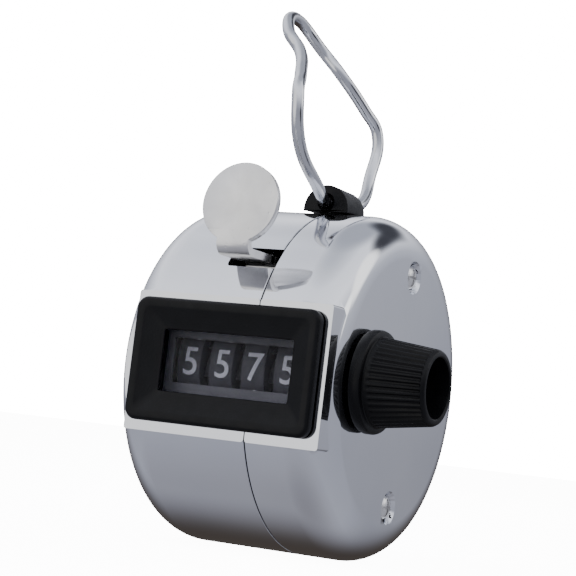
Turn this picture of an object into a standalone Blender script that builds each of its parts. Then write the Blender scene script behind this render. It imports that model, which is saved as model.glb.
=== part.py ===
"""Hand tally counter: a chromed drum case, a window with four number wheels, a thumb lever,
a reset knob and a wire finger ring.

Frame: metres. +X runs along the drum from its left side face to the knob, -Y is the window side
and +Z points to the finger ring. The origin is the centre of the flat left side face.
"""

import math

import bmesh
import bpy
from mathutils import Matrix

# ---------------------------------------------------------------- driving sizes, in metres
# Case
DRUM_RADIUS = 0.0225
CASE_WIDTH = 0.0302
WALL = 0.0012
CORNER_RADIUS = 0.0053
SEAM_FROM_RIGHT = 0.0106
PAD_SET_BACK = 0.0016
PAD_HEIGHT = 0.0176
PAD_LEFT_STEP = 0.00235
PAD_RIGHT_STEP = 0.0006
LIP_LENGTH = 0.0015
LIP_THICKNESS = 0.0009
LIP_FACETS = 44
LIP_START = -29.5

# Clearances
GAP = 0.0003
RUN = 0.00015

# Window
BEZEL_LEFT_MARGIN = 0.00295
BEZEL_RIGHT_MARGIN = 0.00155
BEZEL_HEIGHT = 0.0155
BEZEL_PROUD = 0.0015
BEZEL_RIM = 0.0013
WINDOW_OFF_CENTRE = 0.0010
BEZEL_SLOPE_DEPTH = 0.0008
BEZEL_FLANGE = 0.0019
BEZEL_NECK_DEPTH = 0.0019
BEZEL_NECK_LAP = 0.0016
BEZEL_NECK_RISE = 0.00195
WINDOW_Z = 0.0002
OPENING_HEIGHT = 0.0077
OPENING_LAP = 0.00015
LENS_LAP = 0.0008
LENS_THICKNESS = 0.001
MASK_THICKNESS = 0.0006
MASK_SLOT_HEIGHT = 0.0057
MASK_HEIGHT = 0.0130
MASK_TO_PAD = 0.0023

# Mechanism
MECHANISM_ROOM = 0.0094
WHEEL_COUNT = 4
WHEEL_RADIUS = 0.0074
WHEEL_GAP = 0.0004
RATCHET_WIDTH = 0.0010
RATCHET_TIP = 0.0060
RATCHET_ROOT = 0.0047
RATCHET_TEETH = 10
RATCHET_REST_DEG = 15
HUB_RADIUS = 0.0030
RIM_THICKNESS = 0.0011
WEB_THICKNESS = 0.0008
AXLE_RADIUS = 0.0015
AXLE_RISE = 0.0003
KEYWAY_WIDTH = 0.0007
KEYWAY_DEPTH = 0.0005
PLATE_THICKNESS = 0.0008
PLATE_TO_WHEEL = 0.0012
PIN_RADIUS = 0.0008
POST_RADIUS = 0.0013
SCREW_RADIUS = 0.0008

# Lever
LEVER_THICKNESS = 0.0010
LEVER_WIDTH = 0.0044
PADDLE_RADIUS = 0.00515
PADDLE_RISE = 0.00606
PADDLE_REACH = 0.0057
PADDLE_LEAN_DEG = 8
STRIP_Z = 0.0142
SLOT_HEIGHT = 0.0027
SLOT_SIDE_ROOM = 0.00095
LEVER_ARM = 0.0120
SLEEVE_RADIUS = 0.0016

# Knob
KNOB_LENGTH = 0.0093
KNOB_FLANGE_RADIUS = 0.0065
KNOB_FLANGE = 0.0016
KNOB_BASE_RADIUS = 0.0056
KNOB_END_RADIUS = 0.0047
KNOB_BORE_RADIUS = 0.00375
KNOB_FLOOR = 0.0028
RIB_COUNT = 40
RIB_DEPTH = 0.00025

# Finger ring and its holder
HOLDER_RADIUS = 0.00325
HOLDER_DEPTH = 0.0055
HOLDER_FROM_SEAM = 0.00175
RING_HOLE_RADIUS = 0.0012
RING_HOLE_RISE = 0.0014
WIRE_RADIUS = 0.00085

# Case screws
SCREW_FROM_RIM = 0.0075
SCREW_Y = 0.0008
BOSS_RADIUS = 0.0023
FRAME_BOSS_RADIUS = 0.0018
HEAD_RADIUS = 0.0015
HEAD_HEIGHT = 0.0009
RECESS_DEPTH = 0.0013

# How finely round pieces are divided
CASE_SEGMENTS = 72
WHEEL_SEGMENTS = 30
SMALL_SEGMENTS = 16

# ---------------------------------------------------------------- places that follow
SEAM_X = CASE_WIDTH - SEAM_FROM_RIGHT
LEFT_EDGE = SEAM_X - GAP / 2
RIGHT_EDGE = SEAM_X + GAP / 2
PAD_FRONT = DRUM_RADIUS - PAD_SET_BACK
INNER_RADIUS = DRUM_RADIUS - WALL

BEZEL_RIGHT = CASE_WIDTH - BEZEL_RIGHT_MARGIN
WINDOW_X = CASE_WIDTH / 2 + WINDOW_OFF_CENTRE
BEZEL_FRONT = PAD_FRONT + BEZEL_PROUD

WHEEL_PITCH = (CASE_WIDTH - 2 * WALL - MECHANISM_ROOM) / WHEEL_COUNT
WHEEL_WIDTH = WHEEL_PITCH - WHEEL_GAP
STACK_WIDTH = WHEEL_COUNT * WHEEL_PITCH
STACK_LEFT = WINDOW_X - STACK_WIDTH / 2
STACK_RIGHT = WINDOW_X + STACK_WIDTH / 2
LEFT_PLATE_IN = STACK_LEFT - PLATE_TO_WHEEL
RIGHT_PLATE_IN = STACK_RIGHT + PLATE_TO_WHEEL
MASK_FRONT = PAD_FRONT - MASK_TO_PAD
AXLE_Y = -(MASK_FRONT - MASK_THICKNESS - GAP - WHEEL_RADIUS)
AXLE_Z = WINDOW_Z + AXLE_RISE

SLOT_LOW = STRIP_Z - SLOT_HEIGHT / 2
SLOT_HIGH = STRIP_Z + SLOT_HEIGHT / 2
SLOT_Y = -math.sqrt(DRUM_RADIUS**2 - STRIP_Z**2)
PIVOT_Y = SLOT_Y + 0.0025
PIVOT_Z = STRIP_Z - 0.0049
PAWL_PIN_Y = PIVOT_Y + LEVER_ARM
PAWL_PIN_Z = PIVOT_Z + 0.0022
HOLDER_X = SEAM_X - HOLDER_FROM_SEAM
HOLDER_Z = DRUM_RADIUS + 0.0005
RING_Z = DRUM_RADIUS + RING_HOLE_RISE
SCREW_Z = DRUM_RADIUS - SCREW_FROM_RIM
KNOB_BACK = CASE_WIDTH + GAP


# ---------------------------------------------------------------- materials
def surface(name, color, roughness, metallic, alpha=1.0):
    material = bpy.data.materials.new(name)
    material.use_nodes = True
    shader = material.node_tree.nodes["Principled BSDF"]
    shader.inputs["Base Color"].default_value = (*color, 1.0)
    shader.inputs["Roughness"].default_value = roughness
    shader.inputs["Metallic"].default_value = metallic
    shader.inputs["Alpha"].default_value = alpha
    return material


def make_materials():
    return {
        "chrome": surface("chrome_plate", (0.80, 0.81, 0.84), 0.06, 1.0),
        "nickel": surface("satin_nickel", (0.66, 0.65, 0.64), 0.28, 1.0),
        "steel": surface("zinc_plated_steel", (0.55, 0.56, 0.58), 0.35, 1.0),
        "spring": surface("spring_steel", (0.42, 0.42, 0.44), 0.30, 1.0),
        "brass": surface("brass", (0.72, 0.52, 0.22), 0.32, 1.0),
        "black": surface("black_abs", (0.012, 0.012, 0.015), 0.32, 0.0),
        "wheel": surface("dark_acetal", (0.045, 0.045, 0.060), 0.45, 0.0),
        "mask": surface("grey_styrene", (0.09, 0.09, 0.11), 0.50, 0.0),
        "lens": surface("clear_acrylic", (0.80, 0.82, 0.86), 0.08, 0.0, 0.35),
        "pawl": surface("white_acetal", (0.55, 0.54, 0.50), 0.45, 0.0),
    }


# ---------------------------------------------------------------- mesh helpers
def finish(name, bm, material=None, location=(0, 0, 0), smooth_deg=35):
    bmesh.ops.remove_doubles(bm, verts=bm.verts, dist=1e-7)
    bmesh.ops.recalc_face_normals(bm, faces=bm.faces)
    mesh = bpy.data.meshes.new(name)
    bm.to_mesh(mesh)
    bm.free()
    if material:
        mesh.materials.append(material)
    mesh.shade_smooth()
    mesh.set_sharp_from_angle(angle=math.radians(smooth_deg))
    obj = bpy.data.objects.new(name, mesh)
    obj.location = location
    bpy.context.collection.objects.link(obj)
    return obj


def lathe(outline, segments=SMALL_SEGMENTS, open_ended=False):
    """Turn an outline of (x, radius) points about the X axis. An open outline starts and ends on
    the axis; any other one closes on itself."""
    bm = bmesh.new()
    verts = [bm.verts.new((x, 0, radius)) for x, radius in outline]
    pairs = list(zip(verts, verts[1:]))
    if not open_ended:
        pairs.append((verts[-1], verts[0]))
    edges = [bm.edges.new(pair) for pair in pairs]
    bmesh.ops.spin(
        bm, geom=verts + edges, cent=(0, 0, 0), axis=(1, 0, 0), angle=math.tau,
        steps=segments, use_merge=True,
    )
    bmesh.ops.remove_doubles(bm, verts=bm.verts, dist=1e-7)
    middles = [vert for vert in bm.verts if math.hypot(vert.co.y, vert.co.z) < 1e-7]
    bmesh.ops.dissolve_verts(bm, verts=middles)
    return bm


def rod(x0, x1, radius, segments=SMALL_SEGMENTS):
    return lathe([(x0, 0), (x0, radius), (x1, radius), (x1, 0)], segments, open_ended=True)


def tube(x0, x1, inner, outer, segments=SMALL_SEGMENTS):
    return lathe([(x0, inner), (x0, outer), (x1, outer), (x1, inner)], segments)


def block(low, high):
    bm = bmesh.new()
    bmesh.ops.create_cube(bm, size=1.0)
    size = [b - a for a, b in zip(low, high)]
    middle = [(a + b) / 2 for a, b in zip(low, high)]
    bmesh.ops.scale(bm, vec=size, verts=bm.verts)
    bmesh.ops.translate(bm, vec=middle, verts=bm.verts)
    return bm


def prism(outline, x0, x1):
    """Extrude a closed outline of (y, z) points from x0 to x1."""
    bm = bmesh.new()
    face = bm.faces.new([bm.verts.new((x0, y, z)) for y, z in outline])
    pushed = bmesh.ops.extrude_face_region(bm, geom=[face])["geom"]
    moved = [item for item in pushed if isinstance(item, bmesh.types.BMVert)]
    bmesh.ops.translate(bm, vec=(x1 - x0, 0, 0), verts=moved)
    return bm


def add(bm, other):
    """Put the shapes of another bmesh into this one."""
    mesh = bpy.data.meshes.new("shapes")
    other.to_mesh(mesh)
    other.free()
    bm.from_mesh(mesh)
    bpy.data.meshes.remove(mesh)
    return bm


def loft(rings, closed):
    """Join rings with equal numbers of points, and cap both ends unless the loft is closed."""
    bm = bmesh.new()
    loops = [[bm.verts.new(point) for point in ring] for ring in rings]
    following = loops[1:] + loops[:1] if closed else loops[1:]
    for first, second in zip(loops, following):
        count = len(first)
        for i in range(count):
            j = (i + 1) % count
            bm.faces.new((first[i], first[j], second[j], second[i]))
    if not closed:
        bm.faces.new(list(reversed(loops[0])))
        bm.faces.new(loops[-1])
    return bm


def tool(name, bm, location=(0, 0, 0)):
    """A helper solid for a Boolean, which isn't a piece itself."""
    obj = finish(name, bm, location=location)
    obj.hide_render = True
    obj.display_type = "WIRE"
    return obj


def combine(target, operation, other):
    modifier = target.modifiers.new(f"{operation.lower()}_{other.name}", "BOOLEAN")
    modifier.operation = operation
    modifier.solver = "EXACT"
    modifier.object = other


def cut(target, other):
    combine(target, "DIFFERENCE", other)


def join(target, other):
    combine(target, "UNION", other)


def arc(centre, radius, start_deg, end_deg, steps):
    """Points round an arc, in whichever plane the two coordinates span."""
    points = []
    for step in range(steps + 1):
        angle = math.radians(start_deg + (end_deg - start_deg) * step / steps)
        points.append((centre[0] + radius * math.cos(angle), centre[1] + radius * math.sin(angle)))
    return points


# ---------------------------------------------------------------- case
def drum_outline(x0, x1, radius, corner, steps):
    left = arc((x0 + corner, radius - corner), corner, 180, 90, steps)
    right = arc((x1 - corner, radius - corner), corner, 90, 0, steps)
    return [(x0, 0)] + left + right + [(x1, 0)]


def flat_front(name, front):
    far = 2 * DRUM_RADIUS
    return tool(name, block((-far, -far, -far), (far + CASE_WIDTH, -front, far)))


def make_case_tools():
    far = 2 * DRUM_RADIUS
    corner = CORNER_RADIUS - WALL
    cavity_outline = drum_outline(WALL, CASE_WIDTH - WALL, INNER_RADIUS, corner, 3)
    cavity = tool("cavity", lathe(cavity_outline, CASE_SEGMENTS, open_ended=True))
    cut(cavity, flat_front("cavity_front", PAD_FRONT - WALL))
    pad_low = (PAD_LEFT_STEP, -far / 2, -PAD_HEIGHT / 2)
    pad_high = (CASE_WIDTH - PAD_RIGHT_STEP, -DRUM_RADIUS / 2, PAD_HEIGHT / 2)
    neck_x = window_half_width() + BEZEL_NECK_LAP
    neck_z = OPENING_HEIGHT / 2 + BEZEL_NECK_RISE
    return {
        "pad": tool("pad", block(pad_low, pad_high)),
        "front": flat_front("pad_front", PAD_FRONT),
        "cavity": cavity,
        "left_of_seam": tool("left_of_seam", block((-far, -far, -far), (RIGHT_EDGE, far, far))),
        "right_of_seam": tool("right_of_seam", block((LEFT_EDGE, -far, -far), (far, far, far))),
        "window": tool(
            "window_cut",
            block(
                (WINDOW_X - neck_x - GAP, -far, WINDOW_Z - neck_z - GAP),
                (WINDOW_X + neck_x + GAP, -PAD_FRONT + 3 * WALL, WINDOW_Z + neck_z + GAP),
            ),
        ),
    }


def window_half_width():
    return STACK_WIDTH / 2 - OPENING_LAP


def drum_solid(name, material):
    outline = drum_outline(0, CASE_WIDTH, DRUM_RADIUS, CORNER_RADIUS, 5)
    return finish(name, lathe(outline, CASE_SEGMENTS, open_ended=True), material)


def make_left_shell(material, tools):
    shell = drum_solid("left_shell", material)
    join(shell, tools["pad"])
    cut(shell, tools["front"])
    cut(shell, tools["cavity"])
    cut(shell, tools["right_of_seam"])
    cut(shell, tools["window"])
    far = 2 * DRUM_RADIUS
    slot_left = WINDOW_X - LEVER_WIDTH / 2 - SLOT_SIDE_ROOM
    slot = block((slot_left, -far, SLOT_LOW), (far, SLOT_Y + 4 * WALL, SLOT_HIGH))
    cut(shell, tool("lever_slot", slot))
    stem = stem_half_width() + GAP
    notch = block((HOLDER_X - stem, -stem, DRUM_RADIUS - 3 * WALL), (far, stem, far))
    cut(shell, tool("holder_notch", notch))
    for side, z in (("top", SCREW_Z), ("bottom", -SCREW_Z)):
        boss = drilled_rod(WALL / 2, boss_end(), BOSS_RADIUS, 0.010)
        join(shell, tool(f"left_boss_{side}", boss, (0, SCREW_Y, z)))
    for name, (y, z) in frame_screw_places().items():
        boss = drilled_rod(WALL / 2, plate_out() - GAP, FRAME_BOSS_RADIUS, 0.0034)
        join(shell, tool(f"frame_boss_{name}", boss, (0, y, z)))
    return shell


def drilled_rod(x0, x1, radius, depth):
    """A boss with a blind screw hole in its end at x1."""
    hole = SCREW_RADIUS + RUN
    outline = [(x0, 0), (x0, radius), (x1, radius), (x1, hole), (x1 - depth, hole), (x1 - depth, 0)]
    return lathe(outline, open_ended=True)


def make_right_shell(material, tools):
    shell = drum_solid("right_shell", material)
    join(shell, tools["pad"])
    cut(shell, tools["front"])
    cut(shell, tools["cavity"])
    cut(shell, tools["left_of_seam"])
    cut(shell, tools["window"])
    join(shell, tool("seam_lip", seam_lip()))
    axle_hole = rod(CASE_WIDTH - 2 * WALL, CASE_WIDTH + WALL, AXLE_RADIUS + 2 * GAP)
    cut(shell, tool("axle_hole", axle_hole, (0, AXLE_Y, AXLE_Z)))
    for side, z in (("top", SCREW_Z), ("bottom", -SCREW_Z)):
        boss = rod(boss_end() + GAP, CASE_WIDTH - WALL / 2, BOSS_RADIUS)
        join(shell, tool(f"right_boss_{side}", boss, (0, SCREW_Y, z)))
        hole = SCREW_RADIUS + 2 * RUN
        seat = HEAD_RADIUS + RUN
        floor = CASE_WIDTH - RECESS_DEPTH
        outline = [
            (boss_end() - WALL, 0), (boss_end() - WALL, hole), (floor, hole), (floor, seat),
            (CASE_WIDTH, seat + 0.0005), (CASE_WIDTH + WALL, seat + 0.0005), (CASE_WIDTH + WALL, 0),
        ]
        way = lathe(outline, open_ended=True)
        cut(shell, tool(f"screw_way_{side}", way, (0, SCREW_Y, z)))
    return shell


def boss_end():
    return CASE_WIDTH - RECESS_DEPTH - 0.0041


def plate_out():
    return LEFT_PLATE_IN - PLATE_THICKNESS


def stem_half_width():
    return 0.0014


def seam_lip():
    """The tongue on the right shell that slides inside the left one, round the back and below."""
    outer = INNER_RADIUS - GAP
    inner = outer - LIP_THICKNESS
    root = RIGHT_EDGE + LIP_LENGTH
    outline = [
        (RIGHT_EDGE - LIP_LENGTH, inner),
        (RIGHT_EDGE - LIP_LENGTH, outer),
        (RIGHT_EDGE + GAP, outer),
        (RIGHT_EDGE + GAP, INNER_RADIUS + WALL / 2),
        (root, INNER_RADIUS + WALL / 2),
        (root, inner),
    ]
    rings = []
    for step in range(LIP_FACETS + 1):
        angle = math.tau / CASE_SEGMENTS * (LIP_START + step)
        rings.append([(x, r * math.cos(angle), r * math.sin(angle)) for x, r in outline])
    return loft(rings, closed=False)


def frame_screw_places():
    return {
        "front": (AXLE_Y - (WHEEL_RADIUS - 0.0015), AXLE_Z - 0.0050),
        "rear": (AXLE_Y + 0.0118, AXLE_Z - 0.0030),
    }


def make_case_screw(name, z, material):
    floor = CASE_WIDTH - RECESS_DEPTH + GAP
    top = floor + HEAD_HEIGHT
    outline = [
        (floor - 0.0100, 0),
        (floor - 0.0100, SCREW_RADIUS * 0.6),
        (floor - 0.0092, SCREW_RADIUS),
        (floor, SCREW_RADIUS),
        (floor, HEAD_RADIUS),
        (top - 0.0003, HEAD_RADIUS),
        (top, HEAD_RADIUS - 0.0004),
        (top, 0),
    ]
    screw = finish(name, lathe(outline, open_ended=True), material, (0, SCREW_Y, z))
    cross_slots(screw, top, HEAD_RADIUS * 0.72)
    return screw


def cross_slots(screw, top, reach):
    half = 0.0002
    depth = 0.00045
    x, y, z = screw.location
    bm = block((top - depth, -half, -reach), (top + depth, half, reach))
    upright = tool(f"{screw.name}_slot_upright", bm, (x, y, z))
    bm = block((top - depth * 0.9, -reach, -half), (top + depth * 1.1, reach, half))
    level = tool(f"{screw.name}_slot_level", bm, (x, y, z))
    cut(screw, upright)
    cut(screw, level)


# ---------------------------------------------------------------- window
def rounded_ring(y, left, right, half_height, radius, steps=3):
    """A rounded rectangle facing -Y, between two x and as high above the window's middle as below."""
    points = []
    corners = ((right, 1, 0), (left, 1, 90), (left, -1, 180), (right, -1, 270))
    for x, sign_z, start in corners:
        inward = -radius if x == right else radius
        centre = (x + inward, WINDOW_Z + sign_z * (half_height - radius))
        for point_x, z in arc(centre, radius, start, start + 90, steps):
            points.append((point_x, y, z))
    return points


def make_bezel(material):
    front = -BEZEL_FRONT
    back = -PAD_FRONT - GAP
    lip = front + BEZEL_SLOPE_DEPTH + 0.0003
    tail = -PAD_FRONT + BEZEL_NECK_DEPTH - GAP

    def outside(y, inset, radius):
        left = BEZEL_LEFT_MARGIN + inset
        return rounded_ring(y, left, BEZEL_RIGHT - inset, BEZEL_HEIGHT / 2 - inset, radius)

    def inside(y, outset_x, outset_z, radius):
        half_width = window_half_width() + outset_x
        left = WINDOW_X - half_width
        return rounded_ring(y, left, WINDOW_X + half_width, OPENING_HEIGHT / 2 + outset_z, radius)

    pocket = LENS_LAP + GAP
    rings = [
        outside(back, 0, 0.0014),
        outside(front + 0.0005, 0, 0.0014),
        outside(front + 0.00015, 0.00015, 0.00125),
        outside(front, 0.0005, 0.0009),
        outside(front, BEZEL_RIM, 0.0005),
        inside(front + BEZEL_SLOPE_DEPTH, 0, 0, 0.00015),
        inside(lip, 0, 0, 0.00015),
        inside(lip, pocket, pocket, 0.0003),
        inside(tail, pocket, pocket, 0.0003),
        inside(tail, BEZEL_NECK_LAP, BEZEL_NECK_RISE, 0.0005),
        inside(back, BEZEL_NECK_LAP, BEZEL_NECK_RISE, 0.0005),
    ]
    return finish("window_bezel", loft(rings, closed=True), material)


def make_lens(material):
    front = -BEZEL_FRONT + BEZEL_SLOPE_DEPTH + 2 * GAP
    half_w = window_half_width() + LENS_LAP
    half_h = OPENING_HEIGHT / 2 + LENS_LAP
    low = (WINDOW_X - half_w, front, WINDOW_Z - half_h)
    high = (WINDOW_X + half_w, front + LENS_THICKNESS, WINDOW_Z + half_h)
    return finish("window_lens", block(low, high), material)


def make_mask(material):
    half_w = STACK_WIDTH / 2 + PLATE_TO_WHEEL - GAP
    front = -MASK_FRONT
    centre_z = AXLE_Z
    low = (WINDOW_X - half_w, front, centre_z - MASK_HEIGHT / 2)
    high = (WINDOW_X + half_w, front + MASK_THICKNESS, centre_z + MASK_HEIGHT / 2)
    mask = finish("number_mask", block(low, high), material)
    slot_low = (STACK_LEFT, front - WALL, centre_z - MASK_SLOT_HEIGHT / 2)
    slot_high = (STACK_RIGHT, front + 2 * WALL, centre_z + MASK_SLOT_HEIGHT / 2)
    cut(mask, tool("mask_slot", block(slot_low, slot_high)))
    return mask


# ---------------------------------------------------------------- frame
def frame_outline():
    front = -(PAD_FRONT - WALL - 0.0008)
    rear = AXLE_Y + 0.0143
    low = AXLE_Z - 0.0095
    high = PIVOT_Z + 0.0029
    return [
        (front, low + 0.0015),
        (front + 0.0015, low),
        (rear - 0.0015, low),
        (rear, low + 0.0015),
        (rear, AXLE_Z + 0.0060),
        (rear - 0.0080, high),
        (PIVOT_Y - 0.0010, high),
        (front, PIVOT_Z - 0.0013),
    ]


def post_places():
    return {
        "front_frame_post": (AXLE_Y - 0.0052, AXLE_Z - 0.0077),
        "rear_frame_post": (AXLE_Y + 0.0123, AXLE_Z + 0.0045),
    }


def bar_place():
    return AXLE_Y + WHEEL_RADIUS + 0.0019, AXLE_Z - WHEEL_RADIUS + 0.0002


def make_plate(name, x0, material):
    x1 = x0 + PLATE_THICKNESS
    plate = finish(name, prism(frame_outline(), x0, x1), material)
    holes = {"axle": (AXLE_Y, AXLE_Z, bush_radius() + RUN)}
    holes["pivot"] = (PIVOT_Y, PIVOT_Z, PIN_RADIUS + RUN)
    for key, (y, z) in post_places().items():
        holes[key] = (y, z, PIN_RADIUS + RUN)
    bar_y, bar_z = bar_place()
    holes["bar"] = (bar_y, bar_z, PIN_RADIUS + RUN)
    if name == "left_frame_plate":
        for key, (y, z) in frame_screw_places().items():
            holes[f"{key}_screw"] = (y, z, SCREW_RADIUS + RUN)
    for key, (y, z, radius) in holes.items():
        bm = rod(x0 - WALL, x1 + WALL, radius)
        cut(plate, tool(f"{name}_{key}_hole", bm, (0, y, z)))
    return plate


def make_post(name, y, z, material):
    end = PLATE_THICKNESS + GAP
    x0 = LEFT_PLATE_IN + GAP
    x1 = RIGHT_PLATE_IN - GAP
    outline = [
        (x0 - end, 0), (x0 - end, PIN_RADIUS), (x0, PIN_RADIUS), (x0, POST_RADIUS),
        (x1, POST_RADIUS), (x1, PIN_RADIUS), (x1 + end, PIN_RADIUS), (x1 + end, 0),
    ]
    return finish(name, lathe(outline, open_ended=True), material, (0, y, z))


def make_pivot_pin(material):
    reach = PLATE_THICKNESS + GAP
    bm = rod(LEFT_PLATE_IN - reach, RIGHT_PLATE_IN + reach, PIN_RADIUS)
    return finish("lever_pivot_pin", bm, material, (0, PIVOT_Y, PIVOT_Z))


def make_detent_bar(material):
    y, z = bar_place()
    end = PLATE_THICKNESS + GAP
    x0 = LEFT_PLATE_IN + GAP
    x1 = RIGHT_PLATE_IN - GAP
    half_y = 0.0016
    half_z = 0.0008
    bar = finish("detent_bar", block((x0, -half_y, -half_z), (x1, half_y, half_z)), material, (0, y, z))
    for side, low, high in (("left", x0 - end, x0 + end), ("right", x1 - end, x1 + end)):
        join(bar, tool(f"bar_{side}_end", rod(low, high, PIN_RADIUS * 0.9), (0, y, z)))
    for side, x in detent_screw_places().items():
        bm = block((x - 0.0009, -0.0009, -0.002), (x + 0.0009, 0.0009, 0.002))
        cut(bar, tool(f"bar_{side}_hole", bm, (0, y, z)))
    return bar


def detent_screw_places():
    return {"left": STACK_LEFT + WHEEL_PITCH * 0.75, "right": STACK_RIGHT - WHEEL_PITCH * 0.75}


def make_detent_spring(material):
    """A comb of four leaf fingers that reach between the number wheels and settle each one."""
    y, z = bar_place()
    top = z - 0.0008 - GAP
    leaf = 0.0003
    low = (STACK_LEFT + 0.001, y - 0.0016, top - leaf)
    high = (STACK_RIGHT - 0.00005, y + 0.0016, top)
    spring = finish("detent_spring", block(low, high), material)
    fingers = bmesh.new()
    tip_z = AXLE_Z - RATCHET_TIP - GAP
    under = AXLE_Z - WHEEL_RADIUS - 2 * GAP - leaf
    outline = [
        (y - 0.0010, top),
        (y - 0.0030, under + leaf),
        (AXLE_Y + 0.0016, under + leaf),
        (AXLE_Y, tip_z),
        (AXLE_Y - 0.0004, tip_z - leaf),
        (AXLE_Y + 0.0014, under),
        (y - 0.0030, under),
        (y - 0.0010, top - leaf),
    ]
    for x in finger_places():
        add(fingers, prism(outline, x, x + finger_width()))
    join(spring, tool("detent_fingers", fingers))
    for side, x in detent_screw_places().items():
        bm = rod(-0.001, 0.001, SCREW_RADIUS + RUN)
        bmesh.ops.rotate(bm, matrix=quarter_turn(), verts=bm.verts)
        cut(spring, tool(f"leaf_{side}_hole", bm, (x, y, top)))
    return spring


def quarter_turn():
    """A turn that lays an X-directed shape along -Z."""
    return Matrix.Rotation(math.radians(90), 3, "Y")


def make_detent_screw(name, x, material):
    y, z = bar_place()
    under = z - 0.0008 - 2 * GAP - 0.0003
    bm = lathe(
        [(-0.0018, 0), (-0.0018, 0.0006), (0, 0.0006), (0, 0.0013), (0.0006, 0.0013), (0.0006, 0)],
        12, open_ended=True,
    )
    bmesh.ops.rotate(bm, matrix=quarter_turn(), verts=bm.verts)
    return finish(name, bm, material, (x, y, under))


def finger_width():
    return WHEEL_GAP + RATCHET_WIDTH - 2 * GAP


def finger_places():
    """The left side of each finger, in the slot between one wheel's rim and the next."""
    return [centre + WHEEL_WIDTH / 2 - RATCHET_WIDTH + GAP for centre in wheel_centres()]


def make_frame_screw(name, y, z, material):
    head = LEFT_PLATE_IN + GAP
    outline = [
        (head - 0.0040, 0), (head - 0.0040, SCREW_RADIUS), (head, SCREW_RADIUS),
        (head, 0.0014), (head + 0.0004, 0.0014), (head + 0.0004, 0),
    ]
    return finish(name, lathe(outline, 12, open_ended=True), material, (0, y, z))


# ---------------------------------------------------------------- axle and number wheels
def bush_radius():
    return AXLE_RADIUS + 0.0009


def make_bush(name, plate_outer, direction, material):
    """A flanged bush: the flange lies outside its plate and the barrel passes through it."""
    inner = AXLE_RADIUS + RUN
    flange = plate_outer + direction * GAP
    outer_face = flange + direction * 0.0005
    barrel_end = plate_outer - direction * (PLATE_THICKNESS + GAP)
    outline = [
        (barrel_end, inner), (barrel_end, bush_radius()), (flange, bush_radius()),
        (flange, bush_radius() + 0.0008), (outer_face, bush_radius() + 0.0008), (outer_face, inner),
    ]
    return finish(name, lathe(outline), material, (0, AXLE_Y, AXLE_Z))


def clip_place():
    return plate_out() - GAP - 0.0005 - GAP


def make_axle(material):
    right_end = KNOB_BACK + KNOB_FLOOR - GAP
    groove_right = clip_place() + RUN
    groove_left = clip_place() - 0.0005 - RUN
    left_end = groove_left - 0.0005
    outline = [
        (left_end, 0), (left_end, AXLE_RADIUS), (groove_left, AXLE_RADIUS),
        (groove_left, AXLE_RADIUS - 0.0004), (groove_right, AXLE_RADIUS - 0.0004),
        (groove_right, AXLE_RADIUS), (right_end, AXLE_RADIUS), (right_end, SCREW_RADIUS + RUN),
        (right_end - 0.004, SCREW_RADIUS + RUN), (right_end - 0.004, 0),
    ]
    axle = finish("wheel_axle", lathe(outline, open_ended=True), material, (0, AXLE_Y, AXLE_Z))
    keyway = block(
        (STACK_LEFT, -KEYWAY_WIDTH / 2, AXLE_RADIUS - KEYWAY_DEPTH),
        (STACK_RIGHT, KEYWAY_WIDTH / 2, 2 * AXLE_RADIUS),
    )
    cut(axle, tool("axle_keyway", keyway, (0, AXLE_Y, AXLE_Z)))
    return axle


def make_axle_clip(material):
    outer = AXLE_RADIUS + 0.0013
    inner = AXLE_RADIUS - 0.0004 + RUN
    right = clip_place()
    clip = finish("axle_clip", tube(right - 0.0005, right, inner, outer), material, (0, AXLE_Y, AXLE_Z))
    mouth = block((right - 0.002, 0, -inner * 0.8), (right + 0.002, 2 * outer, inner * 0.8))
    cut(clip, tool("clip_mouth", mouth, (0, AXLE_Y, AXLE_Z)))
    return clip


def wheel_centres():
    return [STACK_LEFT + WHEEL_PITCH * (i + 0.5) for i in range(WHEEL_COUNT)]


def ratchet_outline():
    """Saw teeth: each rises from the root to the tip, then drops straight back to the root."""
    points = []
    pitch = 360 / RATCHET_TEETH
    for tooth in range(RATCHET_TEETH):
        drop = RATCHET_REST_DEG + pitch * tooth
        for step in range(4):
            share = step / 3
            angle = math.radians(drop - pitch * (1 - share) + 0.8)
            radius = RATCHET_ROOT + (RATCHET_TIP - RATCHET_ROOT) * share
            points.append((radius * math.cos(angle), radius * math.sin(angle)))
    return points


def make_number_wheel(name, centre, material):
    half = WHEEL_WIDTH / 2
    step_x = half - RATCHET_WIDTH
    web = step_x - WEB_THICKNESS
    inner_rim = WHEEL_RADIUS - RIM_THICKNESS
    bore = AXLE_RADIUS + RUN
    core = RATCHET_ROOT - 0.0003
    outline = [
        (-half, WHEEL_RADIUS - 0.0002), (-half + 0.0002, WHEEL_RADIUS),
        (step_x - 0.0002, WHEEL_RADIUS), (step_x, WHEEL_RADIUS - 0.0002),
        (step_x, core), (half, core), (half, bore), (-half, bore),
        (-half, HUB_RADIUS), (web, HUB_RADIUS), (web, inner_rim), (-half, inner_rim),
    ]
    location = (centre, AXLE_Y, AXLE_Z)
    wheel = finish(name, lathe(outline, WHEEL_SEGMENTS), material, location)
    ratchet = prism(ratchet_outline(), step_x - 0.0002, half - 0.0001)
    bore_tool = rod(step_x - WALL, half + WALL, core - 0.0003)
    teeth = tool(f"{name}_teeth", ratchet, location)
    cut(teeth, tool(f"{name}_teeth_bore", bore_tool, location))
    join(wheel, teeth)
    half_nose = pawl_nose_half() + GAP
    port = block((-2 * half, 0, -half_nose), (web - GAP / 2, HUB_RADIUS + GAP, half_nose))
    port_tool = tool(f"{name}_port", port, location)
    cut(wheel, port_tool)
    return wheel


def pawl_nose_half():
    return 0.00035


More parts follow.
